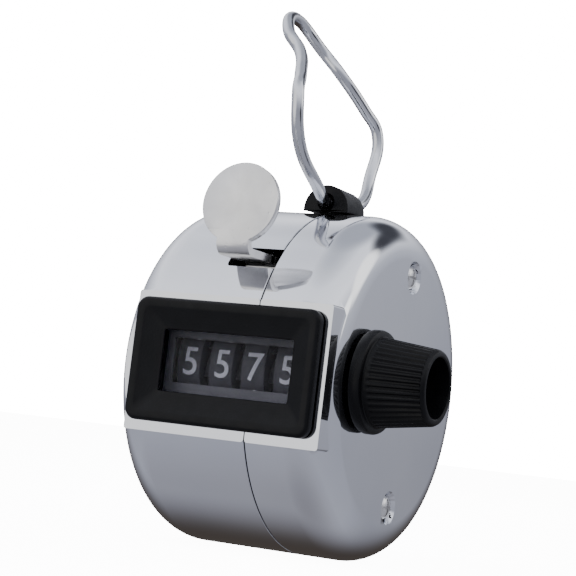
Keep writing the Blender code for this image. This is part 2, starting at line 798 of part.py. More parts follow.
def make_reset_pawl(name, centre, material):
    """A springy hook inside the wheel, whose nose drops into the axle's keyway."""
    half = WHEEL_WIDTH / 2
    inner = HUB_RADIUS + GAP
    outer = inner + 0.0011
    nose = pawl_nose_half()
    back = arc((0, 0), outer, 5, 150, 10)
    front = arc((0, 0), inner, 150, 12, 9)
    tip = AXLE_RADIUS + RUN + 0.0001
    hook = [(inner, nose), (tip, nose), (tip, -nose), (outer, -nose)]
    right = half - RATCHET_WIDTH - WEB_THICKNESS - GAP
    bm = prism(back + front + hook, -half + GAP, right)
    return finish(name, bm, material, (centre, AXLE_Y, AXLE_Z))


# ---------------------------------------------------------------- reset knob
def make_knob(material):
    sides = 2 * RIB_COUNT
    flange = KNOB_FLANGE
    base = KNOB_BASE_RADIUS
    edge = 0.0003
    bore = AXLE_RADIUS + RUN
    stations = [
        (0, bore, 0), (0, KNOB_FLANGE_RADIUS - edge, 0), (edge, KNOB_FLANGE_RADIUS, 0),
        (flange - edge, KNOB_FLANGE_RADIUS, 0), (flange, KNOB_FLANGE_RADIUS - edge, 0),
        (flange, base, 0), (flange + edge, base, RIB_DEPTH),
        (KNOB_LENGTH - edge, KNOB_END_RADIUS, RIB_DEPTH),
        (KNOB_LENGTH, KNOB_END_RADIUS - RIB_DEPTH - edge / 2, 0),
        (KNOB_LENGTH, KNOB_BORE_RADIUS, 0), (KNOB_FLOOR, KNOB_BORE_RADIUS, 0),
        (KNOB_FLOOR, bore, 0),
    ]
    rings = []
    for x, radius, depth in stations:
        ring = []
        for i in range(sides):
            angle = math.tau * i / sides
            r = radius - depth * (i % 2)
            ring.append((x, r * math.cos(angle), r * math.sin(angle)))
        rings.append(ring)
    return finish("reset_knob", loft(rings, closed=True), material, (KNOB_BACK, AXLE_Y, AXLE_Z), 25)


def make_knob_screw(material):
    head = KNOB_BACK + KNOB_FLOOR + GAP
    top = head + 0.0010
    outline = [
        (head - 0.0030, 0), (head - 0.0030, SCREW_RADIUS), (head, SCREW_RADIUS), (head, 0.0024),
        (top - 0.0003, 0.0024), (top, 0.0020), (top, 0),
    ]
    screw = finish("knob_screw", lathe(outline, open_ended=True), material, (0, AXLE_Y, AXLE_Z))
    cross_slots(screw, top, 0.0013)
    return screw


# ---------------------------------------------------------------- thumb lever and pawl
def lever_path():
    """Stations down the pressed strip, as (y, z, half width): the round paddle, its neck, the bend
    over the case, the straight run through the slot, and the turn down to the pivot sleeve."""
    lean = math.radians(PADDLE_LEAN_DEG)
    corner_y = SLOT_Y - PADDLE_REACH
    neck = LEVER_WIDTH / 2
    stations = []
    neck_angle = math.asin(neck / PADDLE_RADIUS)
    steps = 14
    for step in range(steps + 1):
        angle = 0.12 + (math.pi - neck_angle - 0.12) * step / steps
        up = PADDLE_RISE + PADDLE_RADIUS * math.cos(angle)
        stations.append((up, PADDLE_RADIUS * math.sin(angle)))
    path = [(corner_y + up * math.sin(lean), STRIP_Z + up * math.cos(lean), w) for up, w in stations]
    bend = LEVER_THICKNESS
    turn = 180 - (90 - PADDLE_LEAN_DEG)
    run_in = bend * math.tan(math.radians(turn / 2))
    centre = (corner_y + run_in, STRIP_Z + bend)
    for y, z in arc(centre, bend, 180 - PADDLE_LEAN_DEG, 270, 7):
        path.append((y, z, neck))
    inner_bend = 0.0010
    inner_y = PIVOT_Y + 0.0002
    path.append((inner_y - inner_bend - 0.0005, STRIP_Z, neck))
    for y, z in arc((inner_y - inner_bend, STRIP_Z - inner_bend), inner_bend, 75, 0, 4):
        path.append((y, z, neck))
    path.append((inner_y, PIVOT_Z + SLEEVE_RADIUS * 0.5, neck))
    return path


def strip(path, thickness):
    """Give a path of (y, z, half width) a rectangular section square to its direction."""
    rings = []
    for i, (y, z, half) in enumerate(path):
        y0, z0, _ = path[max(i - 1, 0)]
        y1, z1, _ = path[min(i + 1, len(path) - 1)]
        length = math.hypot(y1 - y0, z1 - z0)
        ny = -(z1 - z0) / length * thickness / 2
        nz = (y1 - y0) / length * thickness / 2
        rings.append(
            [(-half, y - ny, z - nz), (half, y - ny, z - nz), (half, y + ny, z + nz), (-half, y + ny, z + nz)]
        )
    return loft(rings, closed=False)


def make_lever(material):
    origin = (WINDOW_X, PIVOT_Y, PIVOT_Z)
    path = [(y - PIVOT_Y, z - PIVOT_Z, half) for y, z, half in lever_path()]
    lever = finish("thumb_lever", strip(path, LEVER_THICKNESS), material, origin)
    sleeve_left = STACK_LEFT + 0.0012 - WINDOW_X
    sleeve_right = sleeve_end() - WINDOW_X
    join(lever, tool("lever_sleeve", rod(sleeve_left, sleeve_right, SLEEVE_RADIUS), origin))
    pin_y = PAWL_PIN_Y - PIVOT_Y
    pin_z = PAWL_PIN_Z - PIVOT_Z
    half_x = arm_half_width()
    neck = LEVER_WIDTH / 2 - 0.0001
    half_z = LEVER_THICKNESS / 2
    stalk = block((-neck, 0.0002, pin_z - half_z + 0.0001), (neck, 0.0040, pin_z + half_z - 0.0001))
    join(lever, tool("lever_stalk", stalk, origin))
    arm = block((-half_x, 0.0032, pin_z - half_z), (half_x, pin_y - 0.0004, pin_z + half_z))
    join(lever, tool("lever_arm", arm, origin))
    knuckle_x = knuckle_half_width()
    for side, x0, x1 in (("left", -half_x, -knuckle_x), ("right", knuckle_x, half_x)):
        bm = rod(x0, x1, POST_RADIUS)
        place = (WINDOW_X, PAWL_PIN_Y, PAWL_PIN_Z)
        join(lever, tool(f"lever_knuckle_{side}", bm, place))
    gap_low = (-knuckle_x - GAP, pin_y - POST_RADIUS - 2 * GAP, -0.004)
    gap_high = (knuckle_x + GAP, pin_y + 0.004, 0.004)
    cut(lever, tool("knuckle_gap", block(gap_low, gap_high), origin))
    far = STACK_WIDTH
    cut(lever, tool("sleeve_bore", rod(-far, far, PIN_RADIUS + RUN), origin))
    place = (WINDOW_X, PAWL_PIN_Y, PAWL_PIN_Z)
    cut(lever, tool("knuckle_bore", rod(-far, far, pawl_pin_radius() + RUN), place))
    return lever


def sleeve_end():
    return STACK_RIGHT - 0.0052


def arm_half_width():
    return STACK_WIDTH / 2 - 0.0035


def knuckle_half_width():
    return arm_half_width() - 0.0022


def pawl_pin_radius():
    return 0.0006


def make_pawl_pin(material):
    half = arm_half_width() + 0.0028
    bm = rod(-arm_half_width() - GAP, half, pawl_pin_radius())
    return finish("pawl_pin", bm, material, (WINDOW_X, PAWL_PIN_Y, PAWL_PIN_Z))


def make_drive_pawl(material):
    """A comb of four fingers. The longest, on the units wheel, has a nose in its ratchet; the
    others stay clear until a deep tooth lets the comb drop."""
    origin = (WINDOW_X, PAWL_PIN_Y, PAWL_PIN_Z)
    barrel = rod(-knuckle_half_width(), knuckle_half_width(), POST_RADIUS)
    pawl = finish("drive_pawl", barrel, material, origin)
    face = AXLE_Y + RATCHET_TIP + GAP
    back = face + 0.0008
    base_low = AXLE_Z + 0.0083
    base_high = base_low + 0.0011
    comb = bmesh.new()
    places = finger_places()
    left = places[0]
    right = places[-1] + finger_width()
    add(comb, block((left, face, base_low), (right, back, base_high)))
    comb_tool = tool("pawl_base", comb)
    join(pawl, comb_tool)
    web = [
        (face + 0.0001, base_low + 0.0003), (back, base_low + 0.0002),
        (PAWL_PIN_Y + 0.0004, PAWL_PIN_Z - 0.0011), (PAWL_PIN_Y - 0.0006, PAWL_PIN_Z + 0.0002),
        (face + 0.0001, base_high - 0.0001),
    ]
    half = knuckle_half_width() - 0.0005
    join(pawl, tool("pawl_web", prism(web, WINDOW_X - half, WINDOW_X + half)))
    nose_low = AXLE_Z + 0.0019
    nose_face = AXLE_Y + RATCHET_TIP - 0.00065
    for number, x in enumerate(places):
        low = nose_low + 0.0004
        if number == len(places) - 1:
            low = nose_low
        finger = block((x, face + 0.00005, low), (x + finger_width(), back - 0.00005, base_low + 0.0006))
        join(pawl, tool(f"pawl_finger_{number}", finger))
    x = places[-1]
    nose = block((x + 0.00005, nose_face, nose_low - 0.00005),
                 (x + finger_width() - 0.00005, face + 0.0004, nose_low + 0.00075))
    join(pawl, tool("pawl_nose", nose))
    far = STACK_WIDTH
    cut(pawl, tool("pawl_bore", rod(-far, far, pawl_pin_radius() + RUN), origin))
    return pawl


# ---------------------------------------------------------------- springs and ring, from wire
def wire(name, points, radius, material, location=(0, 0, 0), sides=1):
    curve = bpy.data.curves.new(name, "CURVE")
    curve.dimensions = "3D"
    curve.bevel_depth = radius
    curve.bevel_resolution = sides
    curve.use_fill_caps = True
    spline = curve.splines.new("POLY")
    spline.points.add(len(points) - 1)
    for place, (x, y, z) in zip(spline.points, points):
        place.co = (x, y, z, 1.0)
    curve.materials.append(material)
    obj = bpy.data.objects.new(name, curve)
    obj.location = location
    bpy.context.collection.objects.link(obj)
    return obj


def coil_points(x0, x1, radius, turns, start_deg, per_turn=10):
    points = []
    count = round(turns * per_turn)
    for i in range(count + 1):
        angle = math.radians(start_deg) + math.tau * i / per_turn
        x = x0 + (x1 - x0) * i / count
        points.append((x, radius * math.cos(angle), radius * math.sin(angle)))
    return points


def make_lever_spring(material):
    """A torsion spring round the pivot pin: one leg bears on the frame, one lifts the lever arm."""
    x0 = sleeve_end() + GAP + 0.0003 - WINDOW_X
    x1 = STACK_RIGHT - 0.0010 - WINDOW_X
    coil = PIN_RADIUS + 0.0008
    points = coil_points(x0, x1, coil, 4.7, 0)
    first = points[0]
    last = points[-1]
    lift_leg = [(x0, first[1], first[2] - 0.0005)]
    rest_leg = [(x1, last[1] - 0.0006, last[2]), (x1, last[1] - 0.0022, last[2] + 0.0001)]
    route = list(reversed(lift_leg)) + points + rest_leg
    return wire("lever_return_spring", route, 0.0002, material, (WINDOW_X, PIVOT_Y, PIVOT_Z))


def make_pawl_spring(material):
    x0 = arm_half_width() + GAP + 0.0002
    x1 = x0 + 0.0018
    points = coil_points(x0, x1, pawl_pin_radius() + 0.0004, 3.5, 0)
    place = (WINDOW_X, PAWL_PIN_Y, PAWL_PIN_Z)
    return wire("pawl_spring", points, 0.00014, material, place)


# The front half of the ring's centreline, from the hole in its holder up to the tip: offsets from
# the middle of that hole. The rear half is its mirror image.
RING_HALF = (
    (0.0, -0.0028, 0.0),
    (0.0005, -0.0068, 0.0014),
    (-0.0005, -0.0110, 0.0058),
    (-0.0009, -0.0126, 0.0125),
    (-0.0021, -0.0102, 0.0153),
    (-0.0047, -0.0063, 0.0196),
    (-0.0072, -0.0053, 0.0224),
)
RING_TIP = (-0.0092, 0.0, 0.0257)


def make_finger_ring(material):
    rear_half = [(x, -y, z) for x, y, z in reversed(RING_HALF)]
    loop = [(0.0, 0.0, 0.0)] + list(RING_HALF) + [RING_TIP] + rear_half
    curve = bpy.data.curves.new("finger_ring", "CURVE")
    curve.dimensions = "3D"
    curve.bevel_depth = WIRE_RADIUS
    curve.bevel_resolution = 3
    curve.resolution_u = 4
    spline = curve.splines.new("BEZIER")
    spline.bezier_points.add(len(loop) - 1)
    spline.use_cyclic_u = True
    for place, point in zip(spline.bezier_points, loop):
        place.co = point
        place.handle_left_type = "AUTO"
        place.handle_right_type = "AUTO"
    curve.materials.append(material)
    ring = bpy.data.objects.new("finger_ring", curve)
    ring.location = (HOLDER_X, 0, RING_Z)
    bpy.context.collection.objects.link(ring)
    return ring


def make_ring_holder(material):
    """An arched block on top of the case, with a stem through the shell and a foot inside it."""
    base = DRUM_RADIUS - 3 * WALL
    arch = arc((0, HOLDER_Z), HOLDER_RADIUS, 0, 180, 14)
    outline = [(HOLDER_RADIUS, base)] + arch + [(-HOLDER_RADIUS, base)]
    bm = bmesh.new()
    face = bm.faces.new([bm.verts.new((x, -HOLDER_DEPTH / 2, z)) for x, z in outline])
    pushed = bmesh.ops.extrude_face_region(bm, geom=[face])["geom"]
    moved = [item for item in pushed if isinstance(item, bmesh.types.BMVert)]
    bmesh.ops.translate(bm, vec=(0, HOLDER_DEPTH, 0), verts=moved)
    holder = finish("ring_holder", bm, material, (HOLDER_X, 0, 0))
    drum = rod(-WALL, CASE_WIDTH + WALL, DRUM_RADIUS + GAP, CASE_SEGMENTS)
    cut(holder, tool("under_holder", drum))
    half = stem_half_width()
    foot_top = INNER_RADIUS - 2 * GAP - 0.0001
    stem = block((HOLDER_X - half, -half, foot_top - 0.0006), (HOLDER_X + half, half, HOLDER_Z + 0.0002))
    join(holder, tool("holder_stem", stem))
    foot_half = half + 0.0013
    foot = block((HOLDER_X - foot_half, -foot_half, foot_top - 0.0011), (HOLDER_X + foot_half, foot_half, foot_top))
    join(holder, tool("holder_foot", foot))
    hole = lathe([(-0.01, 0), (-0.01, RING_HOLE_RADIUS), (0.01, RING_HOLE_RADIUS), (0.01, 0)],
                 SMALL_SEGMENTS, open_ended=True)
    bmesh.ops.rotate(hole, matrix=Matrix.Rotation(math.radians(90), 3, "Z"), verts=hole.verts)
    cut(holder, tool("ring_hole", hole, (HOLDER_X, 0, RING_Z)))
    return holder


# ---------------------------------------------------------------- assembly
def main():
    for obj in list(bpy.data.objects):
        bpy.data.objects.remove(obj)
    mats = make_materials()
    tools = make_case_tools()

    make_left_shell(mats["chrome"], tools)
    make_right_shell(mats["chrome"], tools)
    for side, z in (("top", SCREW_Z), ("bottom", -SCREW_Z)):
        make_case_screw(f"case_screw_{side}", z, mats["nickel"])

    make_bezel(mats["black"])
    make_lens(mats["lens"])
    make_mask(mats["mask"])

    make_plate("left_frame_plate", plate_out(), mats["steel"])
    make_plate("right_frame_plate", RIGHT_PLATE_IN, mats["steel"])
    for name, (y, z) in post_places().items():
        make_post(name, y, z, mats["steel"])
    make_pivot_pin(mats["steel"])
    make_detent_bar(mats["steel"])
    make_detent_spring(mats["spring"])
    for side, x in detent_screw_places().items():
        make_detent_screw(f"detent_screw_{side}", x, mats["steel"])
    for name, (y, z) in frame_screw_places().items():
        make_frame_screw(f"frame_screw_{name}", y, z, mats["steel"])

    make_bush("left_axle_bush", plate_out(), -1, mats["brass"])
    make_bush("right_axle_bush", RIGHT_PLATE_IN + PLATE_THICKNESS, 1, mats["brass"])
    make_axle(mats["steel"])
    make_axle_clip(mats["spring"])
    for label, centre in zip(("thousands", "hundreds", "tens", "units"), wheel_centres()):
        make_number_wheel(f"number_wheel_{label}", centre, mats["wheel"])
        make_reset_pawl(f"reset_pawl_{label}", centre, mats["pawl"])
    make_knob(mats["black"])
    make_knob_screw(mats["nickel"])

    make_lever(mats["nickel"])
    make_lever_spring(mats["spring"])
    make_pawl_pin(mats["steel"])
    make_drive_pawl(mats["pawl"])
    make_pawl_spring(mats["spring"])

    make_ring_holder(mats["black"])
    make_finger_ring(mats["chrome"])


main()
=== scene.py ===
# %% [markdown]
# Hand tally counter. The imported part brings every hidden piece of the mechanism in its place. This
# script gives those pieces their finishes, and remodels the pieces the eye lands on (the chromed
# halves of the drum, the bezel, the wheels with their digits, the paddle, the knob, the finger
# ring and its holder, the screws) in finer meshes that sit inside the same sizes.

import math

import bmesh
import bpy
from mathutils import Matrix, Vector


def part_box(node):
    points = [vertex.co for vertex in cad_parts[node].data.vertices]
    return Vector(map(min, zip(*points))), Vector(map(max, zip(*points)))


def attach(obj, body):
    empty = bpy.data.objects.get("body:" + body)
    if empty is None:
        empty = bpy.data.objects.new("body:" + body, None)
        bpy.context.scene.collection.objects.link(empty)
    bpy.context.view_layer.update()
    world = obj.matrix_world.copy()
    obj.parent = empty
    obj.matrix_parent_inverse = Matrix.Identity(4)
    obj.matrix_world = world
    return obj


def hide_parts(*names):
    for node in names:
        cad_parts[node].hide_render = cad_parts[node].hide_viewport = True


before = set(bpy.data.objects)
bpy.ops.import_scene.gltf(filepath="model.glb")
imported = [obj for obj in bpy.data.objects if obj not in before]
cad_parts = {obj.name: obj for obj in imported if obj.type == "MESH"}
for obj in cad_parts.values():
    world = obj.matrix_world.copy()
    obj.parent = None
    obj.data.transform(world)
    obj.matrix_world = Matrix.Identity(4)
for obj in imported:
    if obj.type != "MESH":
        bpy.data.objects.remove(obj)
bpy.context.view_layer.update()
MM = 0.001


# %% [markdown]
# Colours are written as the hex values a paint chart would give, and one function turns them into
# the linear numbers a shader needs. One more function adds a shader node, with its settings and
# whatever feeds it, so that each material below reads as a short recipe.

# %% Colour and node helpers
def linear(hex_color, alpha=1.0):
    channels = [int(hex_color[i:i + 2], 16) / 255 for i in (1, 3, 5)]
    curve = [c / 12.92 if c <= 0.04045 else ((c + 0.055) / 1.055) ** 2.4 for c in channels]
    return (*curve, alpha)


def add_node(tree, kind, settings=None, **feeds):
    """Add a node, set its properties, and give each input a value or another node's output."""
    node = tree.nodes.new(kind)
    for name, value in (settings or {}).items():
        setattr(node, name, value)
    for name, value in feeds.items():
        socket = node.inputs[name.replace("_", " ")]
        if isinstance(value, bpy.types.NodeSocket):
            tree.links.new(value, socket)
        else:
            socket.default_value = value
    return node


def new_material(name, hex_color, roughness, metallic=0.0, **sockets):
    """A Principled material. Returns it with its tree, its shader and its object coordinates."""
    material = bpy.data.materials.new(name)
    material.use_nodes = True
    tree = material.node_tree
    shader = tree.nodes["Principled BSDF"]
    shader.inputs["Base Color"].default_value = linear(hex_color)
    shader.inputs["Roughness"].default_value = roughness
    shader.inputs["Metallic"].default_value = metallic
    for socket, value in sockets.items():
        shader.inputs[socket.replace("_", " ")].default_value = value
    place = add_node(tree, "ShaderNodeTexCoord").outputs["Object"]
    return material, tree, shader, place


def cloudy(tree, place, per_mm, low, high, detail=4.0, from_min=0.3, from_max=0.7):
    """Noise with a given number of blotches to the millimetre, spread between two values."""
    noise = add_node(tree, "ShaderNodeTexNoise", Vector=place, Scale=per_mm / MM, Detail=detail)
    spread = {"From Min": from_min, "From Max": from_max, "To Min": low, "To Max": high}
    ramp = add_node(tree, "ShaderNodeMapRange", Value=noise.outputs["Fac"])
    for name, value in spread.items():
        ramp.inputs[name].default_value = value
    return ramp.outputs["Result"]


def tint(tree, amount, low_hex, high_hex):
    """A colour between two hex values, by an amount from 0 to 1."""
    mix = tree.nodes.new("ShaderNodeMix")
    mix.data_type = "RGBA"
    mix.inputs[6].default_value = linear(low_hex)
    mix.inputs[7].default_value = linear(high_hex)
    tree.links.new(amount, mix.inputs[0])
    return mix.outputs[2]


def bump(tree, shader, height, depth_mm, strength=1.0):
    depth = depth_mm * MM
    node = add_node(tree, "ShaderNodeBump", Height=height, Strength=strength, Distance=depth)
    tree.links.new(node.outputs["Normal"], shader.inputs["Normal"])


def plug(tree, value, shader, name):
    tree.links.new(value, shader.inputs[name])


def mottle(tree, place, shader, per_mm, low_hex, high_hex):
    """Let the base colour drift between two hex values, in blotches of a given number to the mm."""
    amount = cloudy(tree, place, per_mm, 0.0, 1.0)
    plug(tree, tint(tree, amount, low_hex, high_hex), shader, "Base Color")


# %% [markdown]
# The drum is bright chrome plate on a moulded or pressed shell. Plate is a mirror: its colour is
# almost neutral with a hint of blue, and all that shows on it is the room, a faint haze of
# handling marks and the very slight waviness of the shell under it.

# %% Chrome plate
chrome, tree, shader, place = new_material("chrome_plate", "#E3E5EA", 0.05, 1.0)
plug(tree, cloudy(tree, place, 0.09, 0.035, 0.085), shader, "Roughness")
mottle(tree, place, shader, 0.05, "#DFE1E7", "#E9EAED")
bump(tree, shader, cloudy(tree, place, 0.045, 0.0, 1.0, detail=1.0), 0.010)
print("made", chrome.name)

# %% [markdown]
# The finger ring is drawn wire, chromed after it is bent, so it is a touch duller than the case
# and carries faint marks along its length.

# %% Chromed wire
wire_chrome, tree, shader, place = new_material("chromed_wire", "#D5D6DA", 0.12, 1.0)
plug(tree, cloudy(tree, place, 0.5, 0.08, 0.20), shader, "Roughness")
mottle(tree, place, shader, 0.25, "#C9CACF", "#DEDFE2")
bump(tree, shader, cloudy(tree, place, 1.6, 0.0, 1.0), 0.006)
print("made", wire_chrome.name)

# %% [markdown]
# The thumb lever is stamped steel with a satin nickel plate: warm grey, soft highlights, cloudy
# marks from thumbs and small pits where the blank wasn't polished.

# %% Satin nickel
nickel, tree, shader, place = new_material("satin_nickel_plate", "#E2E1E0", 0.33, 1.0)
mottle(tree, place, shader, 0.22, "#D6D5D4", "#ECEBEA")
plug(tree, cloudy(tree, place, 0.35, 0.26, 0.42), shader, "Roughness")
pits = add_node(tree, "ShaderNodeTexVoronoi", Vector=place, Scale=0.85 / MM)
pit_ramp = add_node(tree, "ShaderNodeMapRange", Value=pits.outputs["Distance"])
for socket, value in {"From Min": 0.04, "From Max": 0.14, "To Min": 0.0, "To Max": 1.0}.items():
    pit_ramp.inputs[socket].default_value = value
bump(tree, shader, pit_ramp.outputs["Result"], 0.03, 0.7)
print("made", nickel.name)

# %% [markdown]
# Bezel, knob and ring holder are black ABS straight from a polished mould: nearly black with a
# blue cast, a soft sheen that varies a little, and a grain of about a fifth of a millimetre.

# %% Black ABS
black, tree, shader, place = new_material("moulded_black_abs", "#08080A", 0.36, IOR=1.52,
                                          Specular_IOR_Level=0.16)
mottle(tree, place, shader, 0.4, "#060608", "#0B0B0E")
plug(tree, cloudy(tree, place, 0.7, 0.30, 0.46), shader, "Roughness")
bump(tree, shader, cloudy(tree, place, 5.0, 0.0, 1.0, detail=2.0), 0.008)
print("made", black.name)

# %% [markdown]
# The wheels are dark grey acetal, which stays matt because it rubs. The digits are printed on them
# in pale ink, slightly uneven, and the mask round them is plain grey styrene.

# %% Wheels, ink and mask
acetal, tree, shader, place = new_material("dark_acetal", "#494955", 0.55, IOR=1.48)
mottle(tree, place, shader, 0.8, "#44444F", "#4F4F5B")
plug(tree, cloudy(tree, place, 1.2, 0.48, 0.62), shader, "Roughness")

ink, tree, shader, place = new_material("printed_ink", "#E6E7F5", 0.6)
mottle(tree, place, shader, 2.5, "#D8D9E8", "#F2F3FF")
plug(tree, cloudy(tree, place, 3.0, 0.52, 0.68), shader, "Roughness")

styrene, tree, shader, place = new_material("grey_styrene", "#5C5C68", 0.5, IOR=1.59)
mottle(tree, place, shader, 0.5, "#565662", "#62626E")
plug(tree, cloudy(tree, place, 0.9, 0.42, 0.58), shader, "Roughness")

pale_acetal, tree, shader, place = new_material("natural_acetal", "#D8D5CB", 0.5, IOR=1.48)
mottle(tree, place, shader, 0.6, "#CFCCC1", "#E0DDD4")
plug(tree, cloudy(tree, place, 0.8, 0.42, 0.58), shader, "Roughness")
print("made", acetal.name, ink.name, styrene.name, pale_acetal.name)

# %% [markdown]
# The window is clear moulded acrylic. It is thin and flat, so it bends nothing behind it: a mostly
# open alpha with a polished surface gives the faint sheen that the eye expects over the digits.

# %% Clear acrylic
acrylic, tree, shader, place = new_material("clear_acrylic", "#15161B", 0.04, IOR=1.49)
plug(tree, cloudy(tree, place, 0.12, 0.10, 0.15), shader, "Alpha")
plug(tree, cloudy(tree, place, 0.3, 0.02, 0.07), shader, "Roughness")
print("made", acrylic.name)

# %% [markdown]
# The mechanism is zinc-plated steel with a fine spangle, spring steel, and turned brass bushes
# whose tool marks run round the shaft.

# %% Steels and brass
zinc, tree, shader, place = new_material("zinc_plated_steel", "#B9BCC1", 0.38, 1.0)
mottle(tree, place, shader, 0.6, "#ACAFB5", "#C4C7CB")
plug(tree, cloudy(tree, place, 1.1, 0.28, 0.48), shader, "Roughness")

spring_steel, tree, shader, place = new_material("spring_steel", "#A3A4A8", 0.3, 1.0)
mottle(tree, place, shader, 0.9, "#97989D", "#AEAFB3")
plug(tree, cloudy(tree, place, 1.5, 0.22, 0.38), shader, "Roughness")

brass, tree, shader, place = new_material("turned_brass", "#C9A35A", 0.3, 1.0)
marks = add_node(tree, "ShaderNodeTexWave", {"bands_direction": "X"}, Vector=place, Scale=1.6 / MM)
plug(tree, tint(tree, marks.outputs["Fac"], "#BF9850", "#D2AD66"), shader, "Base Color")
bump(tree, shader, marks.outputs["Fac"], 0.006)
print("made", zinc.name, spring_steel.name, brass.name)


# %% [markdown]
# Most pieces here are turned or cut from simple blanks, so a few bmesh helpers go a long way: turn
# a profile about the drum's axis, make a block, round the edges picked out by a test, and hang the
# finished mesh on its body, hiding the part it stands for.

# %% Modelling helpers
def turned(profile, steps, middle=(0.0, 0.0, 0.0)):
    """Spin a closed profile of (x, radius) points, in millimetres, about the X axis."""
    bm = bmesh.new()
    verts = [bm.verts.new((x * MM, 0, r * MM)) for x, r in profile]
    edges = [bm.edges.new(pair) for pair in zip(verts, verts[1:] + verts[:1]) if not on_axis(pair)]
    bmesh.ops.spin(
        bm, geom=verts + edges, cent=(0, 0, 0), axis=(1, 0, 0), angle=math.tau, steps=steps,
        use_merge=True,
    )
    bmesh.ops.remove_doubles(bm, verts=bm.verts, dist=1e-7)
    bmesh.ops.recalc_face_normals(bm, faces=bm.faces)
    bmesh.ops.translate(bm, vec=middle, verts=bm.verts)
    return bm


def on_axis(pair):
    return all(abs(vert.co.z) < 1e-9 for vert in pair)


def cuboid(low, high):
    """A block between two corners, in metres."""
    bm = bmesh.new()
    bmesh.ops.create_cube(bm, size=1.0)
    low, high = Vector(low), Vector(high)
    bmesh.ops.scale(bm, vec=high - low, verts=bm.verts)
    bmesh.ops.translate(bm, vec=(low + high) / 2, verts=bm.verts)
    return bm


def round_edges(bm, wanted, radius, segments):
    """Bevel the edges for which wanted(edge) is true."""
    edges = [edge for edge in bm.edges if wanted(edge)]
    bmesh.ops.bevel(
        bm, geom=edges, offset=radius, offset_type="OFFSET", affect="EDGES", segments=segments,
        profile=0.5, clamp_overlap=True, material=-1,
    )
    return len(edges)


def ring_at(x, radius, middle=(0.0, 0.0, 0.0), slack=2e-5):
    """A test for the edges of one circle of a turned piece, at a given x and radius in metres."""
    def wanted(edge):
        for vert in edge.verts:
            around = math.hypot(vert.co.y - middle[1], vert.co.z - middle[2])
            if abs(vert.co.x - middle[0] - x) > slack or abs(around - radius) > slack:
                return False
        return True
    return wanted


def to_object(name, bm, material, smooth_deg=30):
    mesh = bpy.data.meshes.new(name)
    bm.to_mesh(mesh)
    bm.free()
    mesh.materials.append(material)
    mesh.shade_smooth()
    mesh.set_sharp_from_angle(angle=math.radians(smooth_deg))
    obj = bpy.data.objects.new(name, mesh)
    bpy.context.scene.collection.objects.link(obj)
    return obj


def shape(obj, operation, bm):
    """Cut a shape from a piece, or add one to it, and leave no modifier behind."""
    other = to_object("shape", bm, obj.data.materials[0])
    modifier = obj.modifiers.new("shape", "BOOLEAN")
    modifier.operation = operation
    modifier.solver = "EXACT"
    modifier.object = other
    settle(obj)
    bpy.data.objects.remove(other)


def settle(obj):
    """Write what the modifiers make into the piece's own mesh."""
    graph = bpy.context.evaluated_depsgraph_get()
    mesh = bpy.data.meshes.new_from_object(obj.evaluated_get(graph))
    obj.modifiers.clear()
    obj.data = mesh


def soften(obj, radius_mm, segments=2, limit_deg=30):
    """Round every sharp edge of a piece a little, as moulding and plating do."""
    bevel = obj.modifiers.new("soften", "BEVEL")
    bevel.width = radius_mm * MM
    bevel.segments = segments
    bevel.limit_method = "ANGLE"
    bevel.angle_limit = math.radians(limit_deg)
    bevel.harden_normals = True
    settle(obj)


def finish_piece(obj, body, slot, *nodes):
    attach(obj, body)
    if nodes:
        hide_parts(*nodes)
    print(f"{obj.name}: {len(obj.data.vertices)} points, rides on {body}")
    return obj


# %% [markdown]
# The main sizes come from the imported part: its boxes say where the drum, the window, the axle and
# the screws are. Sizes that only the looks need are named beside them.

# %% Places read from the part
left_low, left_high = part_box("left_shell")
drum_radius = left_high.z
case_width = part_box("right_shell")[1].x
pad_front = left_low.y
wall = 1.2 * MM
bezel_low, bezel_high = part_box("window_bezel")
lens_low, lens_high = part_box("window_lens")
axle_low, axle_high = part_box("wheel_axle")
axle = Vector((0, (axle_low.y + axle_high.y) / 2, (axle_low.z + axle_high.z) / 2))
screw_low, screw_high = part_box("case_screw_top")
screw_y = (screw_low.y + screw_high.y) / 2
screw_z = (screw_low.z + screw_high.z) / 2
holder_low, holder_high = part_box("ring_holder")
holder_x = (holder_low.x + holder_high.x) / 2
window_x = (lens_low.x + lens_high.x) / 2
window_z = (lens_low.z + lens_high.z) / 2
far = 2 * drum_radius
SEAM_LEFT = 19.53 * MM
SEAM_RIGHT = 19.67 * MM
print(f"drum radius {drum_radius / MM:.1f} mm, width {case_width / MM:.1f} mm")

# %% [markdown]
# The drum's halves are spun as closed shells with square corners, and bevelled afterwards: a bevel
# along a circle is exactly the rolled edge of a pressed cup. The flat front, the window, the
# lever's slot and the sunk screw seats are then cut, as they are in the tool.

# %% Drum halves
DRUM_STEPS = 180
CORNER = 5.3 * MM
PAD_HALF_HEIGHT = 8.8 * MM
PAD_BACK = -17.5 * MM
PAD_LEFT_STEP = 2.35 * MM
PAD_RIGHT_STEP = 0.6 * MM


def drum_half(name, closed_x, open_x):
    """A cup of revolution, closed by its side face at one x and open at the seam at the other."""
    inward = 1 if open_x > closed_x else -1
    inner_x = closed_x + inward * wall
    radius = drum_radius / MM
    inner = (drum_radius - wall) / MM
    profile = [
        (closed_x / MM, 0), (closed_x / MM, radius), (open_x / MM, radius), (open_x / MM, inner),
        (inner_x / MM, inner), (inner_x / MM, 0),
    ]
    bm = turned(profile, DRUM_STEPS)
    round_edges(bm, ring_at(closed_x, drum_radius), CORNER, 12)
    round_edges(bm, ring_at(inner_x, drum_radius - wall), CORNER - wall, 5)
    round_edges(bm, ring_at(open_x, drum_radius), 0.12 * MM, 2)
    return to_object(name, bm, chrome)


